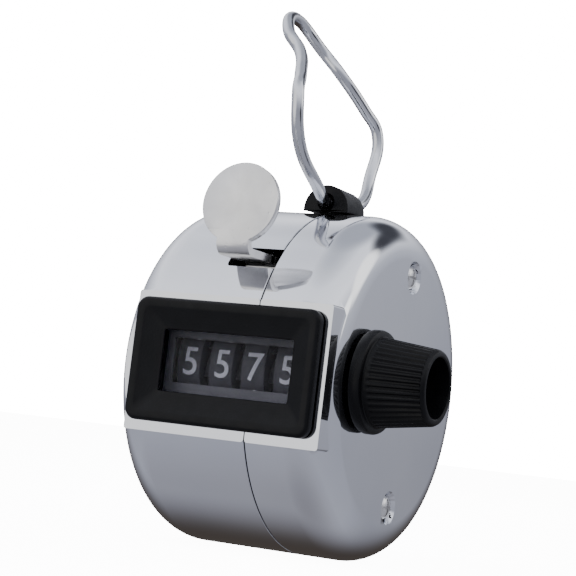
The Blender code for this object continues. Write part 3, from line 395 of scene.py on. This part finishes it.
def flatten_front(half, low_x, high_x):
    """Add the flat pad that carries the window, and cut the drum back to it."""
    pad = cuboid((low_x, pad_front - 2 * MM, -PAD_HALF_HEIGHT), (high_x, PAD_BACK, PAD_HALF_HEIGHT))
    round_edges(pad, lambda e: abs(e.verts[0].co.y - e.verts[1].co.y) > MM, 0.35 * MM, 3)
    shape(half, "UNION", pad)
    shape(half, "DIFFERENCE", cuboid((-far, -far, -far), (far, pad_front, far)))


left_half = drum_half("chrome_left_half", 0.0, SEAM_LEFT)
right_half = drum_half("chrome_right_half", case_width, SEAM_RIGHT)
flatten_front(left_half, PAD_LEFT_STEP, SEAM_LEFT)
flatten_front(right_half, SEAM_RIGHT, case_width - PAD_RIGHT_STEP)

# %% [markdown]
# A window hole goes through both halves. The left half has the lever's slot and the notch for the
# ring holder in its edge, and the right half has the shaft's hole and the two screw seats.

# %% Openings in the drum
WINDOW_MARGIN = 1.1 * MM
WINDOW_FOOT, WINDOW_HEAD = -5.9 * MM, 6.3 * MM
SLOT_LEFT, SLOT_FOOT, SLOT_HEAD, SLOT_BACK = 12.95 * MM, 12.85 * MM, 15.55 * MM, -12.65 * MM
NOTCH_REACH = 1.7 * MM
window_low = (lens_low.x - WINDOW_MARGIN, -30 * MM, WINDOW_FOOT)
window_high = (lens_high.x + WINDOW_MARGIN, -17.3 * MM, WINDOW_HEAD)
for half in (left_half, right_half):
    shape(half, "DIFFERENCE", cuboid(window_low, window_high))
slot_hole = cuboid((SLOT_LEFT, -30 * MM, SLOT_FOOT), (25 * MM, SLOT_BACK, SLOT_HEAD))
round_edges(slot_hole, lambda e: abs(e.verts[0].co.y - e.verts[1].co.y) > MM, 0.4 * MM, 3)
shape(left_half, "DIFFERENCE", slot_hole)
notch_low = (holder_x - NOTCH_REACH, -NOTCH_REACH, 18 * MM)
notch = cuboid(notch_low, (30 * MM, NOTCH_REACH, 30 * MM))
shape(left_half, "DIFFERENCE", notch)
shaft_hole = turned([(28, 0), (28, 2.1), (32, 2.1), (32, 0)], 48, axle)
shape(right_half, "DIFFERENCE", shaft_hole)
for z in (screw_z, -screw_z):
    seat = turned([(27.5, 0), (27.5, 1.1), (28.9, 1.1), (28.9, 1.65), (30.3, 2.2), (30.3, 0)], 48,
                  Vector((0, screw_y, z)))
    shape(right_half, "DIFFERENCE", seat)
for half, node in ((left_half, "left_shell"), (right_half, "right_shell")):
    soften(half, 0.12)
    half.data.shade_smooth()
    half.data.set_sharp_from_angle(angle=math.radians(40))
    weighted = half.modifiers.new("even_shading", "WEIGHTED_NORMAL")
    weighted.keep_sharp = True
    weighted.weight = 100
    settle(half)
    finish_piece(half, "case", "chrome_plate", node)

# %% [markdown]
# Behind the seam a narrow band on the right half slides inside the left one. It keeps the light
# out, so the joint shows as a dark hairline.

# %% Seam band
BAND_PROFILE = [
    (18.3, 20.2), (18.3, 21.0), (19.9, 21.0), (19.9, 21.25), (21.0, 21.25), (21.0, 20.2),
]
band = turned(BAND_PROFILE, 120)
seam_band = to_object("seam_band", band, styrene)
shape(seam_band, "DIFFERENCE", cuboid((0, -far, -8.9 * MM), (far, -15 * MM, 8.9 * MM)))
shape(seam_band, "DIFFERENCE", cuboid((0, -18.5 * MM, 8 * MM), (far, 4.5 * MM, far)))
shape(seam_band, "DIFFERENCE", cuboid((0, -far, 8 * MM), (far, -10 * MM, far)))
finish_piece(seam_band, "case", "chrome_plate")

# %% [markdown]
# The bezel is one moulding: a slab with rounded corners and a softened front edge. Its face is
# inset to leave the flat rim, inset again and pushed back for the sloping inner frame, and the
# middle is opened through to the neck that passes the case.

# %% Window bezel
LENS_LAP = 0.8 * MM
RIM_WIDTH = 1.15 * MM
RIM_STEP, RIM_DROP = 0.15 * MM, 0.06 * MM
SLOPE_DEPTH, SILL_DEPTH = 0.84 * MM, 0.92 * MM
open_x = (lens_high.x - lens_low.x) / 2 - LENS_LAP
open_z = (lens_high.z - lens_low.z) / 2 - LENS_LAP
front_y, back_y = bezel_low.y, pad_front - 0.3 * MM


def about_window(reach_x, reach_z, low_y, high_y):
    """A block centred on the window, reaching a given distance each way."""
    return cuboid((window_x - reach_x, low_y, window_z - reach_z),
                  (window_x + reach_x, high_y, window_z + reach_z))


def step_in(face, left, right, reach_z, y):
    """Inset a face, then take its outline to new left and right ends, height and depth."""
    bmesh.ops.inset_region(bm, faces=[face], thickness=0.02 * MM, use_even_offset=True)
    xs = [vert.co.x for vert in face.verts]
    zs = [vert.co.z for vert in face.verts]
    for vert in face.verts:
        vert.co.x = left + (vert.co.x - min(xs)) * (right - left) / (max(xs) - min(xs))
        share = (vert.co.z - min(zs)) / (max(zs) - min(zs))
        vert.co.z = window_z + reach_z * (2 * share - 1)
        vert.co.y = y


bm = cuboid(bezel_low, (bezel_high.x, back_y, bezel_high.z))
round_edges(bm, lambda e: abs(e.verts[0].co.y - e.verts[1].co.y) > 0.5 * MM, 1.5 * MM, 7)
round_edges(bm, lambda e: all(v.co.y < front_y + 1e-6 for v in e.verts), 0.55 * MM, 5)
face = min((f for f in bm.faces if len(f.verts) > 4), key=lambda f: f.calc_center_median().y)
left, right = bezel_low.x + RIM_WIDTH, bezel_high.x - RIM_WIDTH
half_height = (bezel_high.z - bezel_low.z) / 2 - RIM_WIDTH
step_in(face, left, right, half_height, front_y)
step_in(face, left + RIM_STEP, right - RIM_STEP, half_height - RIM_STEP, front_y + RIM_DROP)
left, right = window_x - open_x, window_x + open_x
step_in(face, left - RIM_DROP, right + RIM_DROP, open_z + RIM_DROP, front_y + SLOPE_DEPTH)
step_in(face, left, right, open_z, front_y + SILL_DEPTH)
bezel = to_object("bezel_moulding", bm, black)
neck = about_window(open_x + 1.6 * MM, open_z + 1.9 * MM, back_y - 0.2 * MM, bezel_high.y)
pocket = about_window(open_x + 1.1 * MM, open_z + 1.1 * MM, lens_low.y - 0.3 * MM, 0)
shape(bezel, "UNION", neck)
shape(bezel, "DIFFERENCE", about_window(open_x, open_z, front_y + 0.5 * MM, 0))
shape(bezel, "DIFFERENCE", pocket)
bezel.data.shade_smooth()
bezel.data.set_sharp_from_angle(angle=math.radians(28))
finish_piece(bezel, "case", "black_plastic", "window_bezel")

# %% [markdown]
# The lens is a flat slab that drops in the bezel's pocket; its edges are eased so that they catch
# a thin line of light.

# %% Window lens
bm = cuboid(lens_low, lens_high)
round_edges(bm, lambda e: True, 0.12 * MM, 2)
lens = to_object("lens_slab", bm, acrylic)
finish_piece(lens, "case", "clear_lens", "window_lens")

# %% [markdown]
# Each number wheel is a spun rim with eased edges over the ratchet and hub. The ten digits are
# real type: each is set as text, thickened, sliced into strips and wrapped on the rim, because a
# flat digit would sink into the curve at its top and foot.

# %% Number wheels
RIM_LEFT, RIM_RIGHT = -2.1, 1.25
DIGIT_HEIGHT = 3.55 * MM
DIGIT_LIFT = 0.03 * MM
DIGIT_RISE = 0.06 * MM
DIGIT_SHIFT = -0.2 * MM
DIGIT_SLICES = 20
WHEELS = {"thousands": 5, "hundreds": 5, "tens": 7, "units": 5}


def wheel_rim(name, centre, radius):
    inner = radius - 1.1
    profile = [(RIM_LEFT, inner), (RIM_LEFT, radius), (RIM_RIGHT, radius), (RIM_RIGHT, inner)]
    bm = turned(profile, 120)
    for x in (RIM_LEFT, RIM_RIGHT):
        round_edges(bm, ring_at(x * MM, radius * MM), 0.15 * MM, 3)
    bmesh.ops.translate(bm, vec=centre, verts=bm.verts)
    return to_object(name, bm, acetal)


def digit_mesh(digit):
    """One digit as a flat, slightly thick mesh, centred on its box and of the printed height."""
    curve = bpy.data.curves.new("digit", "FONT")
    curve.body = str(digit)
    curve.offset = 0.004
    curve.resolution_u = 4
    text = bpy.data.objects.new("digit", curve)
    bpy.context.scene.collection.objects.link(text)
    graph = bpy.context.evaluated_depsgraph_get()
    bm = bmesh.new()
    bm.from_mesh(text.evaluated_get(graph).to_mesh())
    bpy.data.objects.remove(text)
    xs = [vert.co.x for vert in bm.verts]
    ys = [vert.co.y for vert in bm.verts]
    scale = DIGIT_HEIGHT / (max(ys) - min(ys))
    middle = Vector(((max(xs) + min(xs)) / 2, (max(ys) + min(ys)) / 2, 0))
    bmesh.ops.translate(bm, vec=-middle, verts=bm.verts)
    bmesh.ops.scale(bm, vec=(scale * 0.97, scale, scale), verts=bm.verts)
    for step in range(1 - DIGIT_SLICES // 2, DIGIT_SLICES // 2):
        level = step * DIGIT_HEIGHT / DIGIT_SLICES
        geom = list(bm.verts) + list(bm.edges) + list(bm.faces)
        bmesh.ops.bisect_plane(bm, geom=geom, plane_co=(0, level, 0), plane_no=(0, 1, 0))
    raised = bmesh.ops.extrude_face_region(bm, geom=list(bm.faces))["geom"]
    tops = [item for item in raised if isinstance(item, bmesh.types.BMVert)]
    bmesh.ops.translate(bm, vec=(0, 0, 2 * DIGIT_LIFT), verts=tops)
    bmesh.ops.recalc_face_normals(bm, faces=bm.faces)
    return bm


def wrap(bm, centre, radius, turn):
    """Bend a flat digit round the wheel, so that its middle is at a given turn below the window."""
    for vert in bm.verts:
        angle = (vert.co.y + DIGIT_RISE) / radius - turn
        out = radius - DIGIT_LIFT + vert.co.z
        vert.co = Vector((
            centre.x + DIGIT_SHIFT + vert.co.x, centre.y - out * math.cos(angle),
            centre.z + out * math.sin(angle),
        ))


for label, shown in WHEELS.items():
    low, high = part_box(f"number_wheel_{label}")
    centre = (low + high) / 2
    radius = (high.z - low.z) / 2
    rim_piece = wheel_rim(f"rim_{label}", centre, round(radius / MM, 2) + 0.02)
    finish_piece(rim_piece, f"{label}_wheel", "wheel_plastic")
    printed = bmesh.new()
    for digit in range(10):
        bm = digit_mesh(digit)
        wrap(bm, centre, radius + 0.02 * MM, math.tau / 10 * (digit - shown))
        mesh = bpy.data.meshes.new("digit")
        bm.to_mesh(mesh)
        bm.free()
        printed.from_mesh(mesh)
        bpy.data.meshes.remove(mesh)
    digits = to_object(f"digits_{label}", printed, ink)
    finish_piece(digits, f"{label}_wheel", "wheel_plastic")

# %% [markdown]
# The reset knob is turned from its profile, and its grip is made by drawing in every other pair of
# points along the cone. Flange and end keep their plain rounded edges, and the end is open down to
# the screw.

# %% Reset knob
RIBS = 40
RIB_DEPTH = 0.26 * MM
knob_low, knob_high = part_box("reset_knob")
length = (knob_high.x - knob_low.x) / MM
profile = [
    (0, 1.65), (0, 6.15), (0.1, 6.4), (0.35, 6.5), (1.2, 6.5), (1.5, 6.38), (1.62, 6.1),
    (1.64, 5.75), (1.75, 5.62), (2.1, 5.58), (2.4, 5.56), (length - 0.7, 4.78),
    (length - 0.45, 4.74), (length - 0.12, 4.55), (length, 4.3), (length, 3.95),
    (length - 0.12, 3.8), (length - 0.5, 3.75), (2.8, 3.75), (2.8, 1.65),
]
bm = turned(profile, RIBS * 4)
for vert in bm.verts:
    around = math.hypot(vert.co.y, vert.co.z)
    step = round(math.atan2(vert.co.z, vert.co.y) / math.tau * RIBS * 4)
    on_cone = 2.2 * MM < vert.co.x < (length - 0.5) * MM and around > 4.6 * MM
    if on_cone and step % 4 in (0, 1):
        vert.co.y *= 1 - RIB_DEPTH / around
        vert.co.z *= 1 - RIB_DEPTH / around
bmesh.ops.translate(bm, vec=(knob_low.x, axle.y, axle.z), verts=bm.verts)
knob = to_object("ribbed_knob", bm, black, 35)
finish_piece(knob, "reset_shaft", "black_plastic", "reset_knob")

# %% [markdown]
# Three screws show: two sunk in the side of the case and one at the bottom of the knob. Each is
# turned with a low domed head, and its cross is cut by two thin blades.

# %% Screws
def domed_screw(name, node, head_radius, head_height, shank_radius, body):
    low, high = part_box(node)
    middle = Vector((0, (low.y + high.y) / 2, (low.z + high.z) / 2))
    top = high.x / MM
    floor = top - head_height
    profile = [
        (low.x / MM, 0), (low.x / MM, shank_radius), (floor, shank_radius), (floor, head_radius),
        (floor + head_height * 0.45, head_radius), (floor + head_height * 0.8, head_radius * 0.8),
        (top, head_radius * 0.45), (top, 0),
    ]
    bm = turned(profile, 48)
    bmesh.ops.translate(bm, vec=middle, verts=bm.verts)
    screw = to_object(name, bm, nickel, 50)
    deep = min(0.5, head_height * 0.6)
    for along_y, along_z in ((0.18, head_radius * 0.75), (head_radius * 0.75, 0.18)):
        blade = cuboid((top - deep, -along_y, -along_z), (top + 0.5, along_y, along_z))
        bmesh.ops.scale(blade, vec=(MM, MM, MM), verts=blade.verts)
        bmesh.ops.translate(blade, vec=middle, verts=blade.verts)
        shape(screw, "DIFFERENCE", blade)
    screw.data.shade_smooth()
    screw.data.set_sharp_from_angle(angle=math.radians(50))
    return finish_piece(screw, body, "satin_nickel", node)


domed_screw("upper_screw", "case_screw_top", 1.5, 0.9, 0.8, "case")
domed_screw("lower_screw", "case_screw_bottom", 1.5, 0.9, 0.8, "case")
domed_screw("screw_in_knob", "knob_screw", 2.4, 1.0, 0.8, "reset_shaft")

# %% [markdown]
# The thumb lever is a stamping, so it is made like one: a flat blank of a disc and a strip, cut
# across into narrow bands, and then bent. The bend is a rule that takes a distance along the blank
# to a place on the lever's side view. The inner arms of the part stay as they are underneath.

# %% Thumb lever
PADDLE = 5.15
NECK = 2.2
THICK = 1.0
RISE = 6.06
LEAN = math.radians(8)
BEND = 1.15
REACH = 5.7
STRIP_Z = 14.2
INSIDE = 6.4
BANDS = 60
slot_y = -math.sqrt(22.5**2 - STRIP_Z**2)
corner_y = slot_y - REACH


def bent_strip(along, out):
    """Side view of the strip: along runs from the paddle's top down and into the case, in mm."""
    reach = BEND * math.tan((math.pi / 2 + LEAN) / 2)
    arc = BEND * (math.pi / 2 + LEAN)
    start = RISE - reach
    if along <= start:
        up = RISE - along
        y, z, angle = corner_y + up * math.sin(LEAN), STRIP_Z + up * math.cos(LEAN), 0.0
    elif along <= start + arc:
        angle = (along - start) / BEND
        middle = (corner_y + reach, STRIP_Z + BEND)
        face = math.pi - LEAN + angle
        y = middle[0] + BEND * math.cos(face)
        z = middle[1] + BEND * math.sin(face)
    else:
        angle = math.pi / 2 + LEAN
        y, z = corner_y + reach + (along - start - arc), STRIP_Z
    facing = math.pi - LEAN + angle
    return y + out * math.cos(facing), z + out * math.sin(facing)


bm = bmesh.new()
bmesh.ops.create_circle(bm, cap_ends=True, segments=96, radius=PADDLE)
blank = to_object("lever_blank", bm, nickel)
run_in = RISE + INSIDE
bm = bmesh.new()
bm.from_mesh(blank.data)
bpy.data.objects.remove(blank)
pushed = bmesh.ops.extrude_face_region(bm, geom=list(bm.faces))["geom"]
lifted = [item for item in pushed if isinstance(item, bmesh.types.BMVert)]
bmesh.ops.translate(bm, vec=(0, 0, THICK), verts=lifted)
bmesh.ops.translate(bm, vec=(0, 0, -THICK / 2), verts=bm.verts)
bmesh.ops.recalc_face_normals(bm, faces=bm.faces)
paddle = to_object("stamped_lever", bm, nickel)
strip = cuboid((-NECK, -run_in, -THICK / 2), (NECK, -PADDLE * 0.7, THICK / 2))
shape(paddle, "UNION", strip)
soften(paddle, 0.15 / MM, 3)
bm = bmesh.new()
bm.from_mesh(paddle.data)
for step in range(BANDS):
    level = -3.5 - step * (run_in - 3.6) / BANDS
    geom = list(bm.verts) + list(bm.edges) + list(bm.faces)
    bmesh.ops.bisect_plane(bm, geom=geom, plane_co=(0, level, 0), plane_no=(0, 1, 0))
for vert in bm.verts:
    y, z = bent_strip(-vert.co.y, vert.co.z)
    vert.co = (window_x + vert.co.x * MM, y * MM, z * MM)
bmesh.ops.recalc_face_normals(bm, faces=bm.faces)
bm.to_mesh(paddle.data)
bm.free()
paddle.data.shade_smooth()
paddle.data.set_sharp_from_angle(angle=math.radians(35))

# %% [markdown]
# Under the plating the lever is one piece: the outer strip meets the part's riser, sleeve and arms
# inside the case, which are taken over from the part with their doubles merged.

# %% Lever's inner half
inner = bmesh.new()
inner.from_mesh(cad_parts["thumb_lever"].data)
bmesh.ops.remove_doubles(inner, verts=inner.verts, dist=1e-6)
lever_inner = to_object("lever_inner", inner, nickel, 35)
shape(lever_inner, "DIFFERENCE", cuboid((0, -40 * MM, 0), (40 * MM, -16.9 * MM, 40 * MM)))
finish_piece(lever_inner, "lever", "satin_nickel")
finish_piece(paddle, "lever", "satin_nickel", "thumb_lever")

# %% [markdown]
# The finger ring is one length of wire bent into a loop that narrows to a tip, with its ends
# meeting inside the holder. A smooth curve with a round section is the wire itself.

# %% Finger ring
HALF_LOOP = (
    (0.0, 2.8, 0.0), (0.5, 6.8, 1.4), (-0.5, 11.0, 5.8), (-0.9, 12.6, 12.5), (-2.1, 10.2, 15.3),
    (-4.7, 6.3, 19.6), (-7.2, 5.3, 22.4),
)
TIP = (-9.2, 0.0, 25.7)
WIRE_RADIUS = 0.85 * MM
ring_z = drum_radius + 1.4 * MM
front_half = [(x, -y, z) for x, y, z in HALF_LOOP]
loop = [(0.0, 0.0, 0.0)] + front_half + [TIP] + list(reversed(HALF_LOOP))
curve = bpy.data.curves.new("finger_ring_wire", "CURVE")
curve.dimensions = "3D"
curve.bevel_depth = WIRE_RADIUS
curve.bevel_resolution = 6
curve.resolution_u = 16
spline = curve.splines.new("BEZIER")
spline.bezier_points.add(len(loop) - 1)
spline.use_cyclic_u = True
for point, (x, y, z) in zip(spline.bezier_points, loop):
    point.co = (holder_x + x * MM, y * MM, ring_z + z * MM)
    point.handle_left_type = "AUTO"
    point.handle_right_type = "AUTO"
curve.materials.append(wire_chrome)
ring_curve = bpy.data.objects.new("finger_ring_curve", curve)
bpy.context.scene.collection.objects.link(ring_curve)
graph = bpy.context.evaluated_depsgraph_get()
ring_mesh = bpy.data.meshes.new_from_object(ring_curve.evaluated_get(graph))
bpy.data.objects.remove(ring_curve)
ring_mesh.shade_smooth()
ring = bpy.data.objects.new("finger_ring_wire", ring_mesh)
bpy.context.scene.collection.objects.link(ring)
finish_piece(ring, "ring", "chrome_plate", "finger_ring")

# %% [markdown]
# The ring holder is a small moulded arch that straddles the top of the drum. The part's own shape
# is right, so a copy has its edges rounded as the mould does.

# %% Ring holder
bm = bmesh.new()
bm.from_mesh(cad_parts["ring_holder"].data)
bmesh.ops.remove_doubles(bm, verts=bm.verts, dist=1e-6)
bmesh.ops.dissolve_limit(bm, angle_limit=math.radians(2), verts=bm.verts, edges=bm.edges)
holder = to_object("holder_moulding", bm, black, 35)
soften(holder, 0.18, 3, 40)
finish_piece(holder, "case", "black_plastic", "ring_holder")

# %% [markdown]
# Everything that stays as the part made it now gets its real finish. None of it is on show, but it
# is seen through the slot.

# %% Finishes of the hidden mechanism
FINISHES = {
    zinc: ("left_frame_plate", "right_frame_plate", "front_frame_post", "rear_frame_post",
           "frame_screw_front", "frame_screw_rear", "wheel_axle", "lever_pivot_pin", "pawl_pin",
           "detent_bar", "detent_screw_left", "detent_screw_right"),
    spring_steel: ("detent_spring", "lever_return_spring", "pawl_spring", "axle_clip"),
    brass: ("left_axle_bush", "right_axle_bush"),
    styrene: ("number_mask",),
    acetal: tuple(f"number_wheel_{label}" for label in WHEELS),
    pale_acetal: ("drive_pawl", *(f"reset_pawl_{label}" for label in WHEELS)),
}
for material, names in FINISHES.items():
    for name in names:
        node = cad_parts[name]
        node.data.materials.clear()
        node.data.materials.append(material)
print(sum(len(names) for names in FINISHES.values()), "parts finished as they are")

# %% [markdown]
# A pale floor just under the drum and a pale room around it. Chrome shows whatever surrounds it,
# so the room is a soft vertical sweep: bright above, mid grey at eye level and below. Soft-edged
# cards hang in it: a bright one in front at the left, a grey one high behind, bright and dark ones
# behind and at the right for the streaks on the rolled edge, and a large dark one low behind. The
# eye sees the plain backdrop instead.

# %% Floor and room
bm = bmesh.new()
bmesh.ops.create_grid(bm, x_segments=1, y_segments=1, size=6.0)
bmesh.ops.translate(bm, vec=(0, 0, -drum_radius - 0.05 * MM), verts=bm.verts)
floor_paint, tree, shader, place = new_material("pale_floor", "#FAFAFA", 0.85)
mottle(tree, place, shader, 0.01, "#F7F7F7", "#FCFCFC")
shader.inputs["Emission Color"].default_value = (1.0, 1.0, 1.0, 1.0)
shader.inputs["Emission Strength"].default_value = 12.0
floor = to_object("floor", bm, floor_paint)
floor.visible_glossy = False
floor.visible_diffuse = False

world = bpy.data.worlds.new("soft_room")
world.use_nodes = True
bpy.context.scene.world = world
tree = world.node_tree
background = tree.nodes["Background"]
direction = add_node(tree, "ShaderNodeTexCoord").outputs["Generated"]
split = add_node(tree, "ShaderNodeSeparateXYZ", Vector=direction)
sweep = add_node(tree, "ShaderNodeMapRange", Value=split.outputs["Z"])
sweep.inputs["From Min"].default_value = -1.0
sweep.inputs["From Max"].default_value = 1.0
ramp = add_node(tree, "ShaderNodeValToRGB", Fac=sweep.outputs["Result"])
BACKDROP = 12.0
DARK_STREAK = ((0.02, 0.76, 0.65), (0.21, 0.76, 0.61), (0.40, 0.68, 0.62))
STOPS = ((0.0, "#77777E"), (0.10, "#8B8C95"), (0.18, "#93959F"), (0.5, "#8D8F99"),
         (0.64, "#ABAEB8"), (0.80, "#F0F2FA"), (0.92, "#E4E7F0"), (1.0, "#B4B8C2"))
while len(ramp.color_ramp.elements) < len(STOPS):
    ramp.color_ramp.elements.new(0.5)
for element, (position, hex_color) in zip(ramp.color_ramp.elements, STOPS):
    element.position = position
    element.color = linear(hex_color)


def card(under, toward, outer_deg, inner_deg, hex_color, level):
    """Hang a soft-edged card in the room, in one direction, over what is already there."""
    dot = add_node(tree, "ShaderNodeVectorMath", {"operation": "DOT_PRODUCT"})
    tree.links.new(direction, dot.inputs[0])
    dot.inputs[1].default_value = Vector(toward).normalized()
    edge = add_node(tree, "ShaderNodeMapRange", {"interpolation_type": "SMOOTHSTEP"})
    tree.links.new(dot.outputs["Value"], edge.inputs["Value"])
    edge.inputs["From Min"].default_value = math.cos(math.radians(outer_deg))
    edge.inputs["From Max"].default_value = math.cos(math.radians(inner_deg))
    return blend_over(under, edge.outputs["Result"], [c * level for c in linear(hex_color)[:3]])


def blend_over(under, amount, color):
    mix = tree.nodes.new("ShaderNodeMix")
    mix.data_type = "RGBA"
    mix.clamp_result = False
    tree.links.new(amount, mix.inputs[0])
    tree.links.new(under, mix.inputs[6])
    mix.inputs[7].default_value = (*color, 1.0)
    return mix.outputs[2]


room = ramp.outputs["Color"]
room = card(room, (-0.46, -0.88, 0.12), 38, 20, "#FFFFFF", 0.85)
room = card(room, (-0.05, 0.45, 0.89), 30, 12, "#A4A8B3", 0.9)
for toward in DARK_STREAK:
    room = card(room, toward, 15, 2, "#3A3B41", 1.0)
room = card(room, (0.70, 0.52, 0.49), 15, 7, "#FFFFFF", 1.2)
room = card(room, (0.96, -0.10, 0.02), 17, 6, "#1E1C1D", 1.0)
room = card(room, (0.90, 0.36, 0.33), 9, 4, "#FFFFFF", 1.3)
room = card(room, (-0.32, 0.84, -0.44), 58, 6, "#3A3532", 1.0)
sight = add_node(tree, "ShaderNodeLightPath").outputs["Is Camera Ray"]
room = blend_over(room, sight, (BACKDROP, BACKDROP, BACKDROP))
tree.links.new(room, background.inputs["Color"])
background.inputs["Strength"].default_value = 1.6
print("room has", len(STOPS), "steps of grey and nine cards")

# %% [markdown]
# Three soft boxes light the matt surfaces: a large one high at the left front, a smaller one at
# the right and one behind. Chrome is lit by the room alone, so the boxes are hidden from
# reflections.

# %% Lights
def soft_box(name, place, size, power, target=(0.016, 0, 0)):
    light = bpy.data.lights.new(name, "AREA")
    light.shape = "RECTANGLE"
    light.size, light.size_y = size
    light.energy = power
    lamp = bpy.data.objects.new(name, light)
    aim = (Vector(target) - Vector(place)).to_track_quat("-Z", "Y").to_matrix().to_4x4()
    lamp.matrix_world = Matrix.Translation(place) @ aim
    lamp.visible_glossy = False
    bpy.context.scene.collection.objects.link(lamp)
    return lamp


soft_box("key", (-0.25, -0.35, 0.55), (0.40, 0.30), 3.2)
soft_box("side", (0.60, -0.10, 0.30), (0.12, 0.40), 0.9)
soft_box("back", (0.10, 0.50, 0.45), (0.40, 0.25), 1.4)

# %% [markdown]
# The camera stands to the right of the window, a little below its middle, about 23 cm away, and is
# held with a slight tilt.

# %% Camera
AZIMUTH, ELEVATION, ROLL = math.radians(27.385), math.radians(-5.014), math.radians(6.858)
FOCAL_LENGTH = 109.17
STANDPOINT = (0.12013, -0.20809, -0.00815)
camera_data = bpy.data.cameras.new("camera")
camera_data.sensor_width = 36.0
camera_data.lens = FOCAL_LENGTH
camera_data.clip_start = 0.01
camera = bpy.data.objects.new("camera", camera_data)
bpy.context.scene.collection.objects.link(camera)
turn = (
    Matrix.Rotation(AZIMUTH, 4, "Z") @ Matrix.Rotation(math.pi / 2 - ELEVATION, 4, "X")
    @ Matrix.Rotation(ROLL, 4, "Z")
)
camera.matrix_world = Matrix.Translation(STANDPOINT) @ turn
bpy.context.scene.camera = camera
